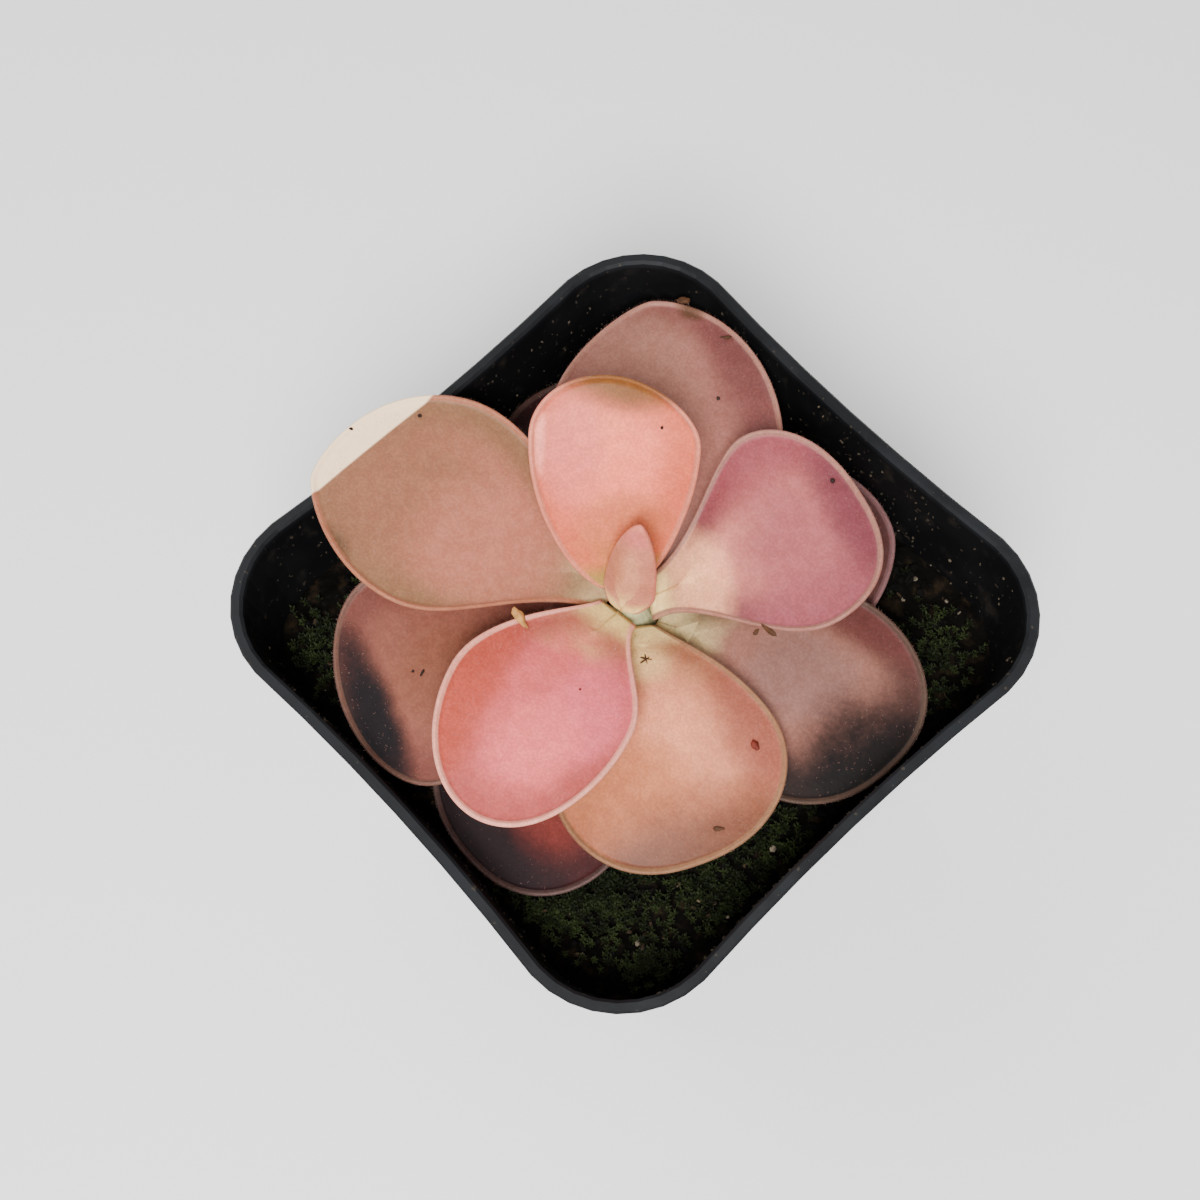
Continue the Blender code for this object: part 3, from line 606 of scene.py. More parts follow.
def leaf_grid(leaf, insets, count):
    """Rows of points over the blade from the spine over the top, round the edge and back, with
    each point's share along and across the leaf and its distance from the edge."""
    outline = blade_outline(leaf, count)
    rims = [blade_ring(leaf, outline, inset) for inset in insets]
    depths = [EDGE_THICK + (BLADE_THICK - EDGE_THICK) * min(inset / THICK_INSET, 1.0) for inset in insets]
    layers = list(zip(rims, depths, insets))
    edge_points, edge_normals, edge_flat = rims[0]
    outward = edge_points - blade_ring(leaf, outline, 0.05)[0]
    outward -= edge_normals * np.sum(outward * edge_normals, axis=1)[:, None]
    outward /= np.linalg.norm(outward, axis=1)[:, None]
    rows, marks = [], []

    def add_row(points, flat, distance):
        rows.append(points)
        marks.append(np.column_stack([flat[:, 0] / leaf.length, flat[:, 1] * 2 / leaf.width,
                                      np.full(len(flat), distance)]))

    for (points, normals, flat), depth, inset in reversed(layers):
        add_row(points + normals * depth / 2, flat, inset)
    for turn in (45, 90, 135):
        turned = math.radians(turn)
        add_row(edge_points + (outward * math.sin(turned) + edge_normals * math.cos(turned)) * EDGE_THICK / 2,
                edge_flat, 0.0)
    for (points, normals, flat), depth, inset in layers:
        add_row(points - normals * depth / 2, flat, inset)
    return np.stack(rows, axis=1), np.stack(marks, axis=1)


def leaf_faces(count, width):
    """Triangles over count strips of width points, and the two ends of the base."""
    faces = []
    middle = (width - 1) / 2
    for i in range(count - 1):
        for j in range(width - 1):
            a, b = i * width + j, (i + 1) * width + j
            if (j + 0.5 < middle) == (i < (count - 1) / 2):
                faces += [(a, b, b + 1), (a, b + 1, a + 1)]
            else:
                faces += [(a, b, a + 1), (b, b + 1, a + 1)]
    last = (count - 1) * width
    for low in range((width - 1) // 2):
        high = width - 1 - low
        corners = list(dict.fromkeys((low, low + 1, high - 1, high)))
        faces.append(tuple(corners))
        faces.append(tuple(last + k for k in reversed(corners)))
    return faces


def crown_radius(height):
    share = (CROWN_TOP - height) / (CROWN_TOP - CROWN_SHOULDER)
    return CROWN_TIP + (CROWN_RADIUS - CROWN_TIP) * min(max(share, 0.0), 1.0)


def leaf_place(order):
    """The leaf's placing matrix, from its own millimetres to the row's metres."""
    azimuth = math.radians(FIRST_AZIMUTH + GOLDEN_ANGLE * order + LEAVES[order].turn)
    height = FIRST_HEIGHT - HEIGHT_STEP * order
    seat = crown_radius(height) + SEAT
    base = Vector((CROWN_X + seat * math.cos(azimuth), CROWN_Y + seat * math.sin(azimuth), height))
    return Matrix.Translation(base * MM) @ Matrix.Rotation(azimuth, 4, "Z") @ Matrix.Scale(MM, 4)


# Meshes


def mesh_object(name, points, faces, materials, smooth=True):
    mesh = bpy.data.meshes.new(name)
    mesh.from_pydata(np.asarray(points).tolist(), [], faces)
    for finish in materials:
        mesh.materials.append(finish)
    if smooth:
        mesh.shade_smooth()
    obj = bpy.data.objects.new(name, mesh)
    bpy.context.scene.collection.objects.link(obj)
    return obj


def settle(obj, node_name, replaced=True):
    """The piece rides the root body and, when it replaces a CAD node, hides that node."""
    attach(obj, "root")
    if replaced:
        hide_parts(node_name)


def weld(obj, distance):
    shape = bmesh.new()
    shape.from_mesh(obj.data)
    bmesh.ops.remove_doubles(shape, verts=shape.verts, dist=distance)
    bmesh.ops.recalc_face_normals(shape, faces=shape.faces)
    shape.to_mesh(obj.data)
    shape.free()


def transformed(points, matrix):
    whole = np.array(matrix)
    return points @ whole[:3, :3].T + whole[:3, 3]


def smooth_by_angle(obj, degrees):
    """A modifier that shades round over every edge flatter than the angle."""
    group = bpy.data.node_groups.new("smooth_by_angle", "GeometryNodeTree")
    for side in ("INPUT", "OUTPUT"):
        group.interface.new_socket("Geometry", in_out=side, socket_type="NodeSocketGeometry")
    start, end = group.nodes.new("NodeGroupInput"), group.nodes.new("NodeGroupOutput")
    faces = node(group, "GeometryNodeSetShadeSmooth", domain="FACE")
    edges = node(group, "GeometryNodeSetShadeSmooth", domain="EDGE")
    angle = group.nodes.new("GeometryNodeInputMeshEdgeAngle")
    steep = node(group, "FunctionNodeCompare", operation="GREATER_THAN")
    steep.inputs["B"].default_value = math.radians(degrees)
    edges.inputs["Shade Smooth"].default_value = False
    link(group, angle.outputs["Unsigned Angle"], steep.inputs["A"])
    link(group, steep.outputs["Result"], edges.inputs["Selection"])
    link(group, start.outputs["Geometry"], faces.inputs["Geometry"])
    link(group, faces.outputs["Geometry"], edges.inputs["Geometry"])
    link(group, edges.outputs["Geometry"], end.inputs["Geometry"])
    obj.modifiers.new("smooth_by_angle", "NODES").node_group = group


def build_leaf(order, settings):
    """One leaf as a closed mesh with its places stored for the skin."""
    leaf = LEAVES[order]
    lip = leaf.lip
    insets = [lip * share for share in (0, 0.16, 0.33, 0.5, 0.66, 0.83, 1.0)]
    inner = leaf.width / 2 - lip
    insets += [lip + inner * share for share in (0.03, 0.07, 0.13, 0.22, 0.35, 0.5, 0.68, 0.85)]
    insets.append(leaf.length)
    grid, marks = leaf_grid(leaf, insets, settings.rings)
    count, width = grid.shape[:2]
    points = transformed(grid.reshape(-1, 3), leaf_place(order))
    skin = leaf_material(order, settings)
    obj = mesh_object(f"leaf_{order + 1:02d}_blade", points, leaf_faces(count, width), [skin])
    for index, name in enumerate(("along", "across", "edge")):
        stored = obj.data.attributes.new(name, "FLOAT", "POINT")
        stored.data.foreach_set("value", marks[..., index].ravel().astype(np.float32))
    weld(obj, 0.00002)
    settle(obj, f"leaf_{order + 1:02d}")


# Hairs


def hair_fields(order, settings, rng):
    """Feet and directions of the hairs on a leaf's upper face, thicker near its edge."""
    leaf = LEAVES[order]
    area = BLADE_FILL * leaf.length * leaf.width
    tries = int(area * settings.per_area * 1.5 * TINTS[order].hairs)
    half = leaf.width / 2
    x = rng.uniform(0.10 * leaf.length, leaf.length, tries)
    y = rng.uniform(-half, half, tries)
    outline = blade_outline(leaf, 400)
    side = outline[:200]
    limit = np.interp(x, side[:, 0], side[:, 1])
    room = limit - np.abs(y)
    keep = room > leaf.lip * 0.9
    x, y = x[keep], y[keep]
    keep = leaf.length - x > leaf.lip
    flat = np.column_stack([x[keep], y[keep]])
    points, _, _, normal = surface_frame(leaf, flat)
    feet = points + normal * (BLADE_THICK / 2 - 0.03)
    ring = blade_outline(leaf, int(leaf.length * 2.2 / 0.30))
    ring_points, ring_normals, _ = blade_ring(leaf, ring, 0.0)
    inner = blade_ring(leaf, ring, 0.05)[0]
    outward = ring_points - inner
    outward /= np.linalg.norm(outward, axis=1)[:, None]
    grown = ring[:, 0] > 0.14 * leaf.length
    edge_feet = (ring_points + outward * (EDGE_THICK / 2 - 0.02))[grown]
    edge_way = (outward + ring_normals * 0.5)[grown]
    return np.concatenate([feet, edge_feet]), np.concatenate([normal, edge_way])


def hair_mesh(feet, ways, heights, settings, rng):
    """Tapered three-sided stalks, each with an eight-sided droplet, in millimetres."""
    count = len(feet)
    lean = rng.normal(0, 0.28, (count, 3))
    ways = ways + lean
    ways /= np.linalg.norm(ways, axis=1)[:, None]
    guide = np.where(np.abs(ways[:, 2:]) < 0.9, [[0.0, 0.0, 1.0]], [[1.0, 0.0, 0.0]])
    right = np.cross(ways, guide)
    right /= np.linalg.norm(right, axis=1)[:, None]
    front = np.cross(ways, right)
    foot_half, top_half = settings.width / MM / 2, settings.width / MM / 4
    drop = settings.drop / MM * (0.3 + 0.9 * rng.uniform(0, 1, count) ** 8)[:, None]
    tops = feet + ways * heights[:, None]
    corners = []
    for base, half in ((feet, foot_half), (tops, top_half)):
        for angle in (0, 2 * math.pi / 3, 4 * math.pi / 3):
            corners.append(base + (right * math.cos(angle) + front * math.sin(angle)) * half)
    for way, sign in ((ways, -1), (right, 1), (front, 1), (right, -1), (front, -1), (ways, 1)):
        corners.append(tops + way * drop * sign)
    points = np.stack(corners, axis=1).reshape(-1, 3)
    stalk = [(0, 1, 4), (0, 4, 3), (1, 2, 5), (1, 5, 4), (2, 0, 3), (2, 3, 5)]
    bead = [(6, 8, 7), (6, 9, 8), (6, 10, 9), (6, 7, 10), (11, 7, 8), (11, 8, 9), (11, 9, 10), (11, 10, 7)]
    pattern = np.array(stalk + bead)
    faces = (pattern[None] + 12 * np.arange(count)[:, None, None]).reshape(-1, 3)
    return points, faces.tolist(), len(stalk), len(bead)


def hair_material(settings):
    made, _, shader = new_material("hair")
    shader.inputs["Base Color"].default_value = (*settings.colour, 1.0)
    shader.inputs["Roughness"].default_value = 0.35
    shader.inputs["Alpha"].default_value = 0.4
    return made


def droplet_material():
    made, _, shader = new_material("droplet")
    shader.inputs["Base Color"].default_value = (0.75, 0.52, 0.46, 1.0)
    shader.inputs["Roughness"].default_value = 0.06
    shader.inputs["IOR"].default_value = 1.36
    shader.inputs["Alpha"].default_value = 0.4
    shader.inputs["Coat Weight"].default_value = 1.0
    shader.inputs["Coat Roughness"].default_value = 0.03
    return made


def build_hairs(order, settings, materials, rng):
    feet, ways = hair_fields(order, settings, rng)
    heights = settings.height / MM * rng.uniform(0.6, 1.25, len(feet))
    points, faces, stalk, bead = hair_mesh(feet, ways, heights, settings, rng)
    points = transformed(points, leaf_place(order))
    obj = mesh_object(f"leaf_{order + 1:02d}_hairs", points, faces, materials)
    pattern = np.array([0] * stalk + [1] * bead, dtype=np.int32)
    obj.data.polygons.foreach_set("material_index", np.tile(pattern, len(feet)))
    settle(obj, f"leaf_{order + 1:02d}", replaced=False)


# Pot, soil and moss


def pot_material(settings):
    """Black moulded plastic: greyer at the rim's top, partly wear and partly a painted highlight, with dust
    and dried splashes inside.
    """
    made, tree, shader = new_material("pot_plastic")
    place = node(tree, "ShaderNodeTexCoord")
    parts = node(tree, "ShaderNodeSeparateXYZ")
    link(tree, place.outputs["Object"], parts.inputs[0])
    # The rim's top is painted lighter grey, mottled: wear and a painted highlight.
    high = ramp(tree, parts.outputs["Z"], 0.0638, 0.0645)
    cloud = mottle(tree, Scale=120.0, Detail=5.0, Low=0.35, High=0.65)
    worn_and_highlit = node(tree, "ShaderNodeMath", operation="MULTIPLY")
    link(tree, high, worn_and_highlit.inputs[0])
    link(tree, ramp(tree, cloud, 0.0, 1.0, 0.5, 1.0), worn_and_highlit.inputs[1])
    colour = mix_colour(tree, worn_and_highlit.outputs[0], settings.plastic, settings.worn_and_highlit)
    film = mottle(tree, Scale=330.0, Detail=8.0, Low=0.55, High=0.78)
    inner = ramp(tree, parts.outputs["Z"], 0.0642, 0.0636, 0.0, 0.22)
    dusty = node(tree, "ShaderNodeMath", operation="MULTIPLY")
    link(tree, film, dusty.inputs[0])
    link(tree, inner, dusty.inputs[1])
    colour = mix_colour(tree, dusty.outputs[0], colour, settings.dirt)
    grit = mottle(tree, Scale=1400.0, Detail=1.0, Low=0.70, High=0.76)
    colour = mix_colour(tree, ramp(tree, grit, 0.0, 1.0, 0.0, 0.5), colour, settings.dirt)
    link(tree, colour, shader.inputs["Base Color"])
    shader.inputs["Specular IOR Level"].default_value = 0.16
    link(tree, ramp(tree, cloud, 0.0, 1.0, 0.45, 0.62), shader.inputs["Roughness"])
    link(tree, place_group(tree, "grain", Scale=1500.0, Depth=0.25, Distance=0.0001).outputs["Normal"],
         shader.inputs["Normal"])
    return made


def soil_material(settings):
    made, tree, shader = new_material("peat")
    cloud = mottle(tree, Scale=500.0, Detail=6.0, Low=0.45, High=0.75)
    link(tree, mix_colour(tree, ramp(tree, cloud, 0.0, 1.0, 0.0, 0.35), settings.peat, settings.bark),
         shader.inputs["Base Color"])
    link(tree, place_group(tree, "grain", Scale=900.0, Depth=0.9, Distance=0.0004).outputs["Normal"],
         shader.inputs["Normal"])
    shader.inputs["Roughness"].default_value = 0.85
    shader.inputs["Specular IOR Level"].default_value = 0.04
    return made


def plain_material(name, colour, roughness, spread=0.3):
    """A matt colour that varies a little from bit to bit."""
    made, tree, shader = new_material(name)
    dark = [c * (1 - spread) for c in colour]
    light = [min(c * (1 + spread), 1.0) for c in colour]
    deep = [c * 0.15 for c in colour]
    tone = place_group(tree, "varied_tone", Dark=(*dark, 1.0), Light=(*light, 1.0), Deep=(*deep, 1.0),
                       Spread=spread)
    link(tree, tone.outputs["Colour"], shader.inputs["Base Color"])
    shader.inputs["Roughness"].default_value = roughness
    shader.inputs["Specular IOR Level"].default_value = 0.12
    return made


def soil_height(x, y):
    """The same rough top as the solid soil."""
    rough = (math.sin(0.55 * x + 1.3 * math.sin(0.31 * y)) + math.sin(0.63 * y + 0.4 + math.sin(0.42 * x))
             + 0.7 * math.sin(1.1 * x - 0.9 * y + 2.0))
    return SOIL_TOP + 0.5 * rough / 2.7


def crumbly(x, y):
    fine = noise.fractal(Vector((x * 0.55, y * 0.55, 3.0)), 0.6, 2.1, 5)
    return soil_height(x, y) + 0.55 * fine


def square_reach(angle, half, corner):
    """Distance from the middle to the edge of a rounded square in this direction."""
    c, s = abs(math.cos(angle)), abs(math.sin(angle))
    flat = half - corner
    big, small = max(c, s), min(c, s)
    reach = half / big
    if reach * small <= flat:
        return reach
    along = flat * (c + s)
    return along + math.sqrt(max(along * along - 2 * flat * flat + corner * corner, 0.0))


def bed_reach(angle):
    """Distance to the pot's bowed inner wall at the height of the soil's top."""
    reach = square_reach(angle, BED_HALF, BED_CORNER)
    small = reach * min(abs(math.cos(angle)), abs(math.sin(angle)))
    return reach - BED_BOW * max(1 - (small / (BED_HALF - BED_CORNER)) ** 2, 0.0)


def build_soil(settings):
    around, rings = 260, 74
    points, faces = [], []
    for ring in range(rings):
        share = 1 - ring / (rings - 1)
        for k in range(around):
            angle = 2 * math.pi * k / around
            reach = (bed_reach(angle) - 0.15) * (0.02 + 0.98 * share)
            x, y = reach * math.cos(angle), reach * math.sin(angle)
            points.append((x, y, crumbly(x, y)))
    side = len(points)
    for height, half in ((SOIL_TOP - SOIL_SKIRT, SOIL_HALF - 1.3), (SOIL_LOW, SOIL_LOW_HALF)):
        for k in range(around):
            angle = 2 * math.pi * k / around
            reach = square_reach(angle, half, SOIL_CORNER)
            points.append((reach * math.cos(angle), reach * math.sin(angle), height))
    order = [side + around, side, 0] + [ring * around for ring in range(1, rings)]
    for low_ring, high_ring in zip(order, order[1:]):
        for k in range(around):
            j = (k + 1) % around
            faces.append((low_ring + k, low_ring + j, high_ring + j, high_ring + k))
    faces.append(tuple(side + around + k for k in range(around))[::-1])
    faces.append(tuple((rings - 1) * around + k for k in range(around)))
    soil = mesh_object("soil_bed", np.array(points) * MM, faces, [soil_material(settings)])
    settle(soil, "soil")


def blob_template(detail=1):
    shape = bmesh.new()
    bmesh.ops.create_icosphere(shape, subdivisions=detail, radius=1.0)
    points = np.array([v.co[:] for v in shape.verts])
    faces = np.array([[v.index for v in f.verts] for f in shape.faces])
    shape.free()
    return points, faces


def random_turns(rng, count):
    """Random rotation matrices."""
    q = rng.normal(size=(count, 4))
    q /= np.linalg.norm(q, axis=1)[:, None]
    w, x, y, z = q.T
    return np.stack([
        np.stack([1 - 2 * (y * y + z * z), 2 * (x * y - w * z), 2 * (x * z + w * y)], 1),
        np.stack([2 * (x * y + w * z), 1 - 2 * (x * x + z * z), 2 * (y * z - w * x)], 1),
        np.stack([2 * (x * z - w * y), 2 * (y * z + w * x), 1 - 2 * (x * x + y * y)], 1)], 1)


def scatter(name, places, sizes, material, slot_name, rng, rough=0.25):
    """Many small rough bits as one mesh. places and sizes are in millimetres."""
    base, faces = blob_template()
    count = len(places)
    turns = random_turns(rng, count)
    bumps = 1 + rng.uniform(-rough, rough, (count, len(base), 1))
    points = np.einsum("nij,nkj->nki", turns, base[None] * bumps * sizes[:, None, :]) + places[:, None, :]
    whole = (faces[None] + len(base) * np.arange(count)[:, None, None]).reshape(-1, 3)
    obj = mesh_object(name, points.reshape(-1, 3) * MM, whole.tolist(), [material], smooth=False)
    settle(obj, slot_name, replaced=False)


def build_crumbs(settings, rng):
    """Crumbs of peat, bits of bark and pale grit that lie on the soil."""
    def places(count, sink):
        angle = rng.uniform(0, 2 * math.pi, count)
        share = np.sqrt(rng.uniform(0.0, 1.0, count))
        reach = np.array([square_reach(a, SOIL_HALF - 1.0, 10.0) for a in angle]) * share
        x, y = reach * np.cos(angle), reach * np.sin(angle)
        return np.column_stack([x, y, [crumbly(a, b) - sink for a, b in zip(x, y)]])
    kinds = (("peat_crumbs", settings.crumbs, (0.15, 0.55), settings.peat, 0.9, 1.0),
             ("bark_bits", settings.crumbs // 7, (0.15, 0.6), settings.bark, 0.8, 0.45),
             ("pale_grit", settings.crumbs // 22, (0.12, 0.42), (0.15, 0.12, 0.085), 0.7, 0.8))
    for name, count, (least, most), colour, roughness, flatness in kinds:
        sizes = rng.uniform(least, most, (count, 3)) * [1.5, 1.0, flatness]
        scatter(name, places(count, 0.1), sizes, plain_material(name, colour, roughness, 0.5), "soil", rng)


def build_specks(settings, rng):
    """Dried dirt on the inside of the pot's walls."""
    count = settings.specks
    side = rng.integers(0, 4, count)
    height = SOIL_TOP + (RIM - 1.5 - SOIL_TOP) * rng.uniform(0, 1, count) ** 1.2
    across = rng.uniform(-27, 27, count)
    share = height / RIM
    half = POT_FOOT_HALF + (POT_MOUTH_HALF - POT_FOOT_HALF) * share - POT_WALL
    flat = half - (POT_FOOT_CORNER + POT_CORNER_GROWTH * share - POT_WALL)
    bow = POT_BOW * share
    reach = np.where(np.abs(across) < flat, half - bow * (1 - (across / flat) ** 2),
                     flat + np.sqrt(np.clip((half - flat) ** 2 - (np.abs(across) - flat) ** 2, 0, None)))
    x, y = reach - 0.02, across
    c, s = np.cos(side * math.pi / 2), np.sin(side * math.pi / 2)
    places = np.column_stack([x * c - y * s, x * s + y * c, height])
    sizes = rng.uniform(0.05, 0.24, (count, 3))
    scatter("dried_specks", places, sizes, plain_material("dried_dirt", settings.dirt, 0.9, 0.7), "pot", rng)


def moss_shoot(rng):
    """One shoot: leaflets spiral up a short stem."""
    points, faces = [], []
    height = rng.uniform(0.8, 1.7)
    lean = rng.normal(0, 0.25, 2)
    leaflets = 11
    for k in range(leaflets):
        share = (k + 1) / leaflets
        angle = 2.4 * k + rng.uniform(0, 0.6)
        length = rng.uniform(0.45, 0.75) * (1.0 - 0.35 * share)
        width = 0.10
        rise = 0.25 + 0.75 * share
        foot = np.array([lean[0] * share * height, lean[1] * share * height, share * height])
        out = np.array([math.cos(angle), math.sin(angle), rise])
        side = np.array([-math.sin(angle), math.cos(angle), 0]) * width
        start = len(points)
        points += [foot - side * 0.5, foot + side * 0.5, foot + out * length * 0.5 + side,
                   foot + out * length * 0.5 - side, foot + out * length * 1.0 + np.array([0, 0, -0.05])]
        faces += [(start, start + 1, start + 2, start + 3), (start + 3, start + 2, start + 4)]
    return np.array(points), faces


# Moss patches: middle x and y, reach and share of the shoots.
MOSS = ((18, -23, 7, 0.26), (26, -13, 7, 0.20), (14, -27, 6, 0.12), (27, -4, 5, 0.08), (-24, -26, 6, 0.10),
        (24, 22, 7, 0.12), (-29, -12, 4, 0.06), (28, -24, 4, 0.06))


def build_moss(settings, rng):
    points, faces, start = [], [], 0
    for cx, cy, reach, part in MOSS:
        for _ in range(int(settings.shoots * part)):
            x, y = cx + rng.normal(0, reach * 0.5), cy + rng.normal(0, reach * 0.5)
            if math.hypot(x, y) > bed_reach(math.atan2(y, x)) - 1.4:
                continue
            shoot, leaflets = moss_shoot(rng)
            points.append(shoot + [x, y, crumbly(x, y) - 0.1])
            faces += [tuple(start + k for k in face) for face in leaflets]
            start += len(shoot)
    moss = plain_material("moss", settings.moss, 0.7, 0.6)
    obj = mesh_object("moss_shoots", np.concatenate(points) * MM, faces, [moss], smooth=False)
    settle(obj, "soil", replaced=False)


def build_bits():
    """Specks and scraps on the leaves and larger bits on the soil, one mesh for each colour."""
    places, sizes, headings, colours = [], [], [], []
    for bit in BITS:
        point, ahead, aside, normal = (row[0] for row in surface_frame(LEAVES[bit.leaf],
                                                                      np.array([[bit.x, bit.y]], float)))
        place = point + normal * (BLADE_THICK / 2 + 0.12)
        along = ahead * math.cos(math.radians(bit.turn)) + aside * math.sin(math.radians(bit.turn))
        matrix = np.array(leaf_place(bit.leaf))
        places.append(matrix[:3, :3] @ place + matrix[:3, 3])
        turn = matrix[:3, :3] / MM
        headings.append(np.stack([turn @ along, turn @ np.cross(normal, along), turn @ normal]))
        sizes.append((bit.length / 2, bit.width / 2, max(bit.width * 0.3, 0.1)))
        colours.append(bit.colour)
    for x, y, length, width, height, turn, colour in CLODS:
        angle = math.radians(turn)
        places.append(np.array([x, y, crumbly(x, y) + height * 0.2]) * MM)
        c, s = math.cos(angle), math.sin(angle)
        headings.append(np.array([[c, s, 0], [-s, c, 0], [0, 0, 1]]))
        sizes.append((length / 2, width / 2, height / 2))
        colours.append(colour)
    base, faces = blob_template(3)
    for colour in dict.fromkeys(colours):
        points, whole = [], []
        for place, size, heading, own in zip(places, sizes, headings, colours):
            if own != colour:
                continue
            rough = np.array([noise.noise(Vector(p * 1.6 + place * 900)) for p in base])[:, None]
            taper = 1 - 0.35 * base[:, :1] * [0, 1, 1]
            shape = base * (1 + 0.35 * rough) * taper * np.array(size) * MM
            whole.append(faces + len(base) * len(points))
            points.append(shape @ heading + place)
        index = list(dict.fromkeys(colours)).index(colour)
        obj = mesh_object(f"bits_{index + 1:02d}", np.concatenate(points), np.concatenate(whole).tolist(),
                          [plain_material(f"bit_{index + 1:02d}", colour, 0.6, 0.3)])
        settle(obj, "soil", replaced=False)


# Operators


class BUTTERWORT_OT_pot(bpy.types.Operator):
    """Finish the pot and add the dried specks inside it"""
    bl_idname = "butterwort.pot"
    bl_label = "Pot"

    def execute(self, context):
        settings = context.scene.bw_pot
        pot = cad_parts["pot"]
        pot.data.materials.clear()
        pot.data.materials.append(pot_material(settings))
        smooth_by_angle(pot, 30.0)
        build_specks(settings, np.random.default_rng(11))
        return {"FINISHED"}


class BUTTERWORT_OT_soil(bpy.types.Operator):
    """Add the soil with its crumbs, bark and grit"""
    bl_idname = "butterwort.soil"
    bl_label = "Soil"

    def execute(self, context):
        settings = context.scene.bw_soil
        build_soil(settings)
        build_crumbs(settings, np.random.default_rng(5))
        return {"FINISHED"}


class BUTTERWORT_OT_moss(bpy.types.Operator):
    """Add the moss that grows on the soil"""
    bl_idname = "butterwort.moss"
    bl_label = "Moss"

    def execute(self, context):
        build_moss(context.scene.bw_soil, np.random.default_rng(8))
        return {"FINISHED"}


class BUTTERWORT_OT_leaves(bpy.types.Operator):
    """Add the twelve leaves and finish the stem"""
    bl_idname = "butterwort.leaves"
    bl_label = "Leaves"

    def execute(self, context):
        settings = context.scene.bw_leaf
        for order in range(len(LEAVES)):
            build_leaf(order, settings)
        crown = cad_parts["crown"]
        crown.data.materials.clear()
        crown.data.materials.append(plain_material("stem_skin", (0.50, 0.47, 0.25), 0.6, 0.15))
        return {"FINISHED"}


class BUTTERWORT_OT_hairs(bpy.types.Operator):
    """Add the fine hairs and their droplets to the leaves"""
    bl_idname = "butterwort.hairs"
    bl_label = "Hairs"

    def execute(self, context):
        settings = context.scene.bw_hair
        materials = [hair_material(settings), droplet_material()]
        for order in range(len(LEAVES)):
            build_hairs(order, settings, materials, np.random.default_rng(100 + order))
        return {"FINISHED"}


class BUTTERWORT_OT_bits(bpy.types.Operator):
    """Add the loose specks, scraps and seeds"""
    bl_idname = "butterwort.bits"
    bl_label = "Loose bits"

    def execute(self, context):
        build_bits()
        return {"FINISHED"}


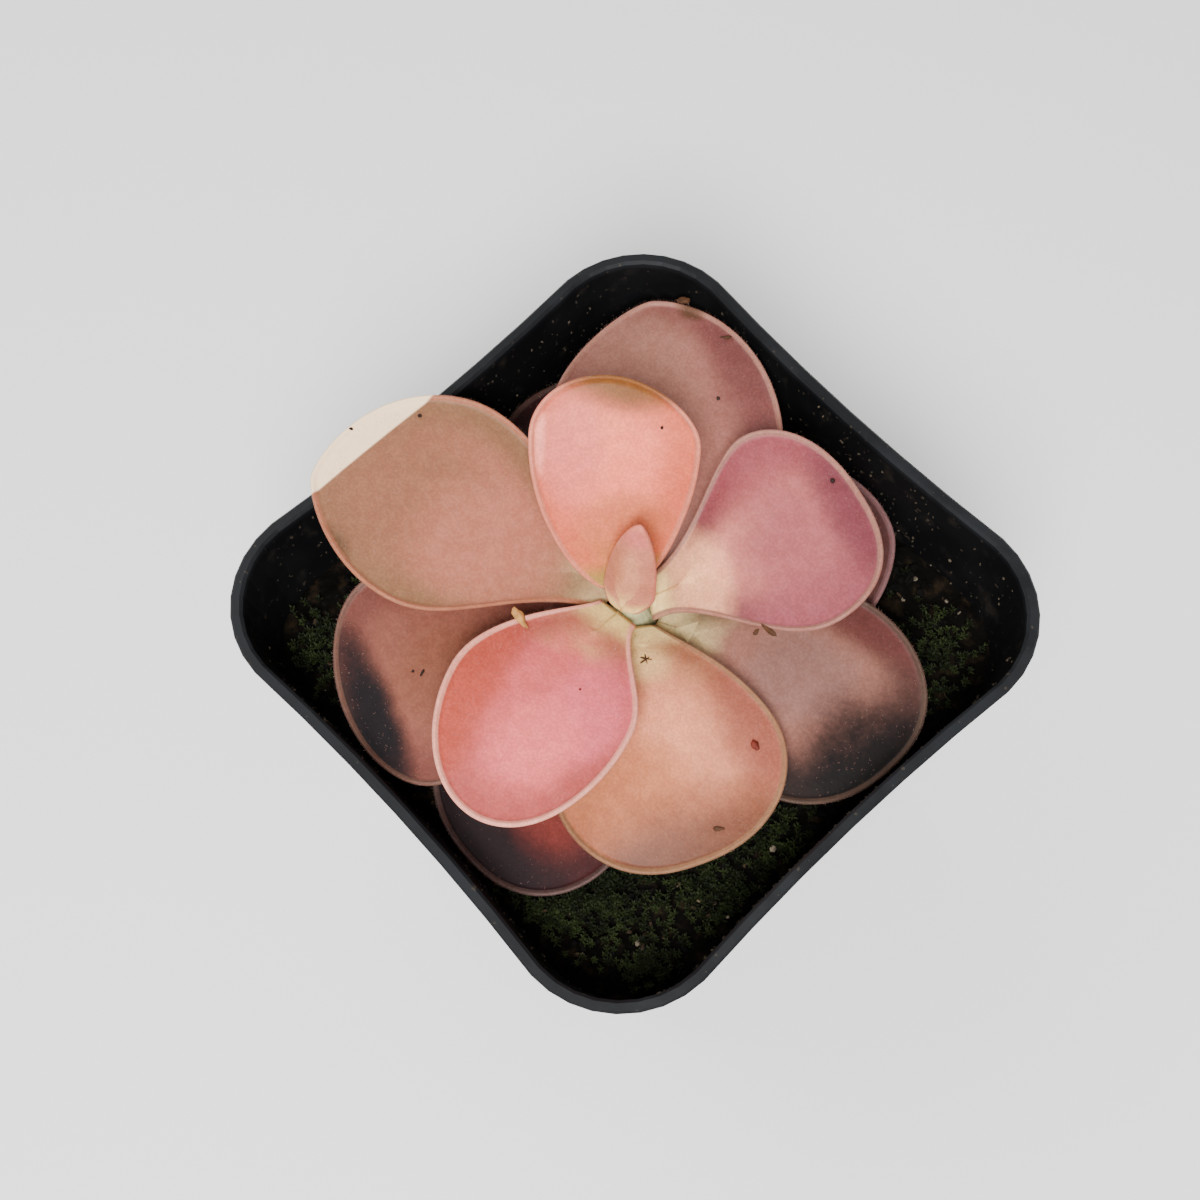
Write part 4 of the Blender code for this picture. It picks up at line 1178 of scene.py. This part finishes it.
class BUTTERWORT_OT_stage(bpy.types.Operator):
    """Add the floor, the lights and the camera"""
    bl_idname = "butterwort.stage"
    bl_label = "Stage"

    def execute(self, context):
        settings = context.scene.bw_stage
        scene = context.scene
        bpy.ops.mesh.primitive_plane_add(size=6.0, location=(0, 0, 0))
        floor = context.object
        floor.name = "floor"
        made, _, shader = new_material("pale_floor")
        shader.inputs["Base Color"].default_value = (0.86, 0.86, 0.86, 1.0)
        shader.inputs["Roughness"].default_value = 0.9
        floor.data.materials.append(made)
        world = bpy.data.worlds.new("soft_room")
        world.use_nodes = True
        back = world.node_tree.nodes["Background"]
        back.inputs["Color"].default_value = (1.0, 0.98, 0.96, 1.0)
        back.inputs["Strength"].default_value = settings.fill
        scene.world = world
        target = Vector((*RIM_MIDDLE, RIM * MM))
        for name, place, size, watts in LAMPS:
            light = bpy.data.lights.new(name, "AREA")
            light.size = size
            light.energy = settings.key * watts
            lamp = bpy.data.objects.new(name, light)
            lamp.location = place
            lamp.rotation_euler = (target - lamp.location).to_track_quat("-Z", "Y").to_euler()
            scene.collection.objects.link(lamp)
        azimuth, elevation, roll = settings.azimuth, settings.elevation, settings.roll
        back_way = Vector((math.sin(azimuth) * math.cos(elevation), -math.cos(azimuth) * math.cos(elevation),
                           math.sin(elevation)))
        level = Vector((math.cos(azimuth), math.sin(azimuth), 0))
        upward = back_way.cross(level)
        right = level * math.cos(roll) + upward * math.sin(roll)
        upward = upward * math.cos(roll) - level * math.sin(roll)
        lens = bpy.data.cameras.new("camera")
        lens.lens = settings.lens
        lens.sensor_width = 36.0
        lens.clip_start = 0.005
        camera = bpy.data.objects.new("camera", lens)
        turn = Matrix((right, upward, back_way)).transposed().to_4x4()
        camera.matrix_world = Matrix.Translation(target + back_way * settings.distance) @ turn
        scene.collection.objects.link(camera)
        scene.camera = camera
        return {"FINISHED"}


class BUTTERWORT_PT_panel(bpy.types.Panel):
    bl_label = "Butterwort"
    bl_idname = "BUTTERWORT_PT_panel"
    bl_space_type = "VIEW_3D"
    bl_region_type = "UI"
    bl_category = "Butterwort"

    def draw(self, context):
        for name, settings in SETTINGS.items():
            box = self.layout.box()
            for prop in settings.__annotations__:
                box.prop(getattr(context.scene, name), prop)
        for operator in OPERATORS:
            self.layout.operator(operator.bl_idname)


OPERATORS = (BUTTERWORT_OT_pot, BUTTERWORT_OT_soil, BUTTERWORT_OT_moss, BUTTERWORT_OT_leaves,
             BUTTERWORT_OT_hairs, BUTTERWORT_OT_bits, BUTTERWORT_OT_stage)


def register():
    for settings in SETTINGS.values():
        bpy.utils.register_class(settings)
    for operator in OPERATORS:
        bpy.utils.register_class(operator)
    bpy.utils.register_class(BUTTERWORT_PT_panel)
    for name, settings in SETTINGS.items():
        setattr(bpy.types.Scene, name, PointerProperty(type=settings))


def unregister():
    for name in SETTINGS:
        delattr(bpy.types.Scene, name)
    bpy.utils.unregister_class(BUTTERWORT_PT_panel)
    for operator in reversed(OPERATORS):
        bpy.utils.unregister_class(operator)
    for settings in reversed(SETTINGS.values()):
        bpy.utils.unregister_class(settings)


def main():
    register()
    make_mottle()
    make_grain()
    make_patch()
    make_leaf_zones()
    make_leaf_margin()
    make_fuzz()
    make_varied_tone()
    bpy.ops.butterwort.stage()
    bpy.ops.butterwort.pot()
    bpy.ops.butterwort.soil()
    bpy.ops.butterwort.moss()
    bpy.ops.butterwort.leaves()
    bpy.ops.butterwort.hairs()
    bpy.ops.butterwort.bits()


if __name__ == "__main__":
    main()
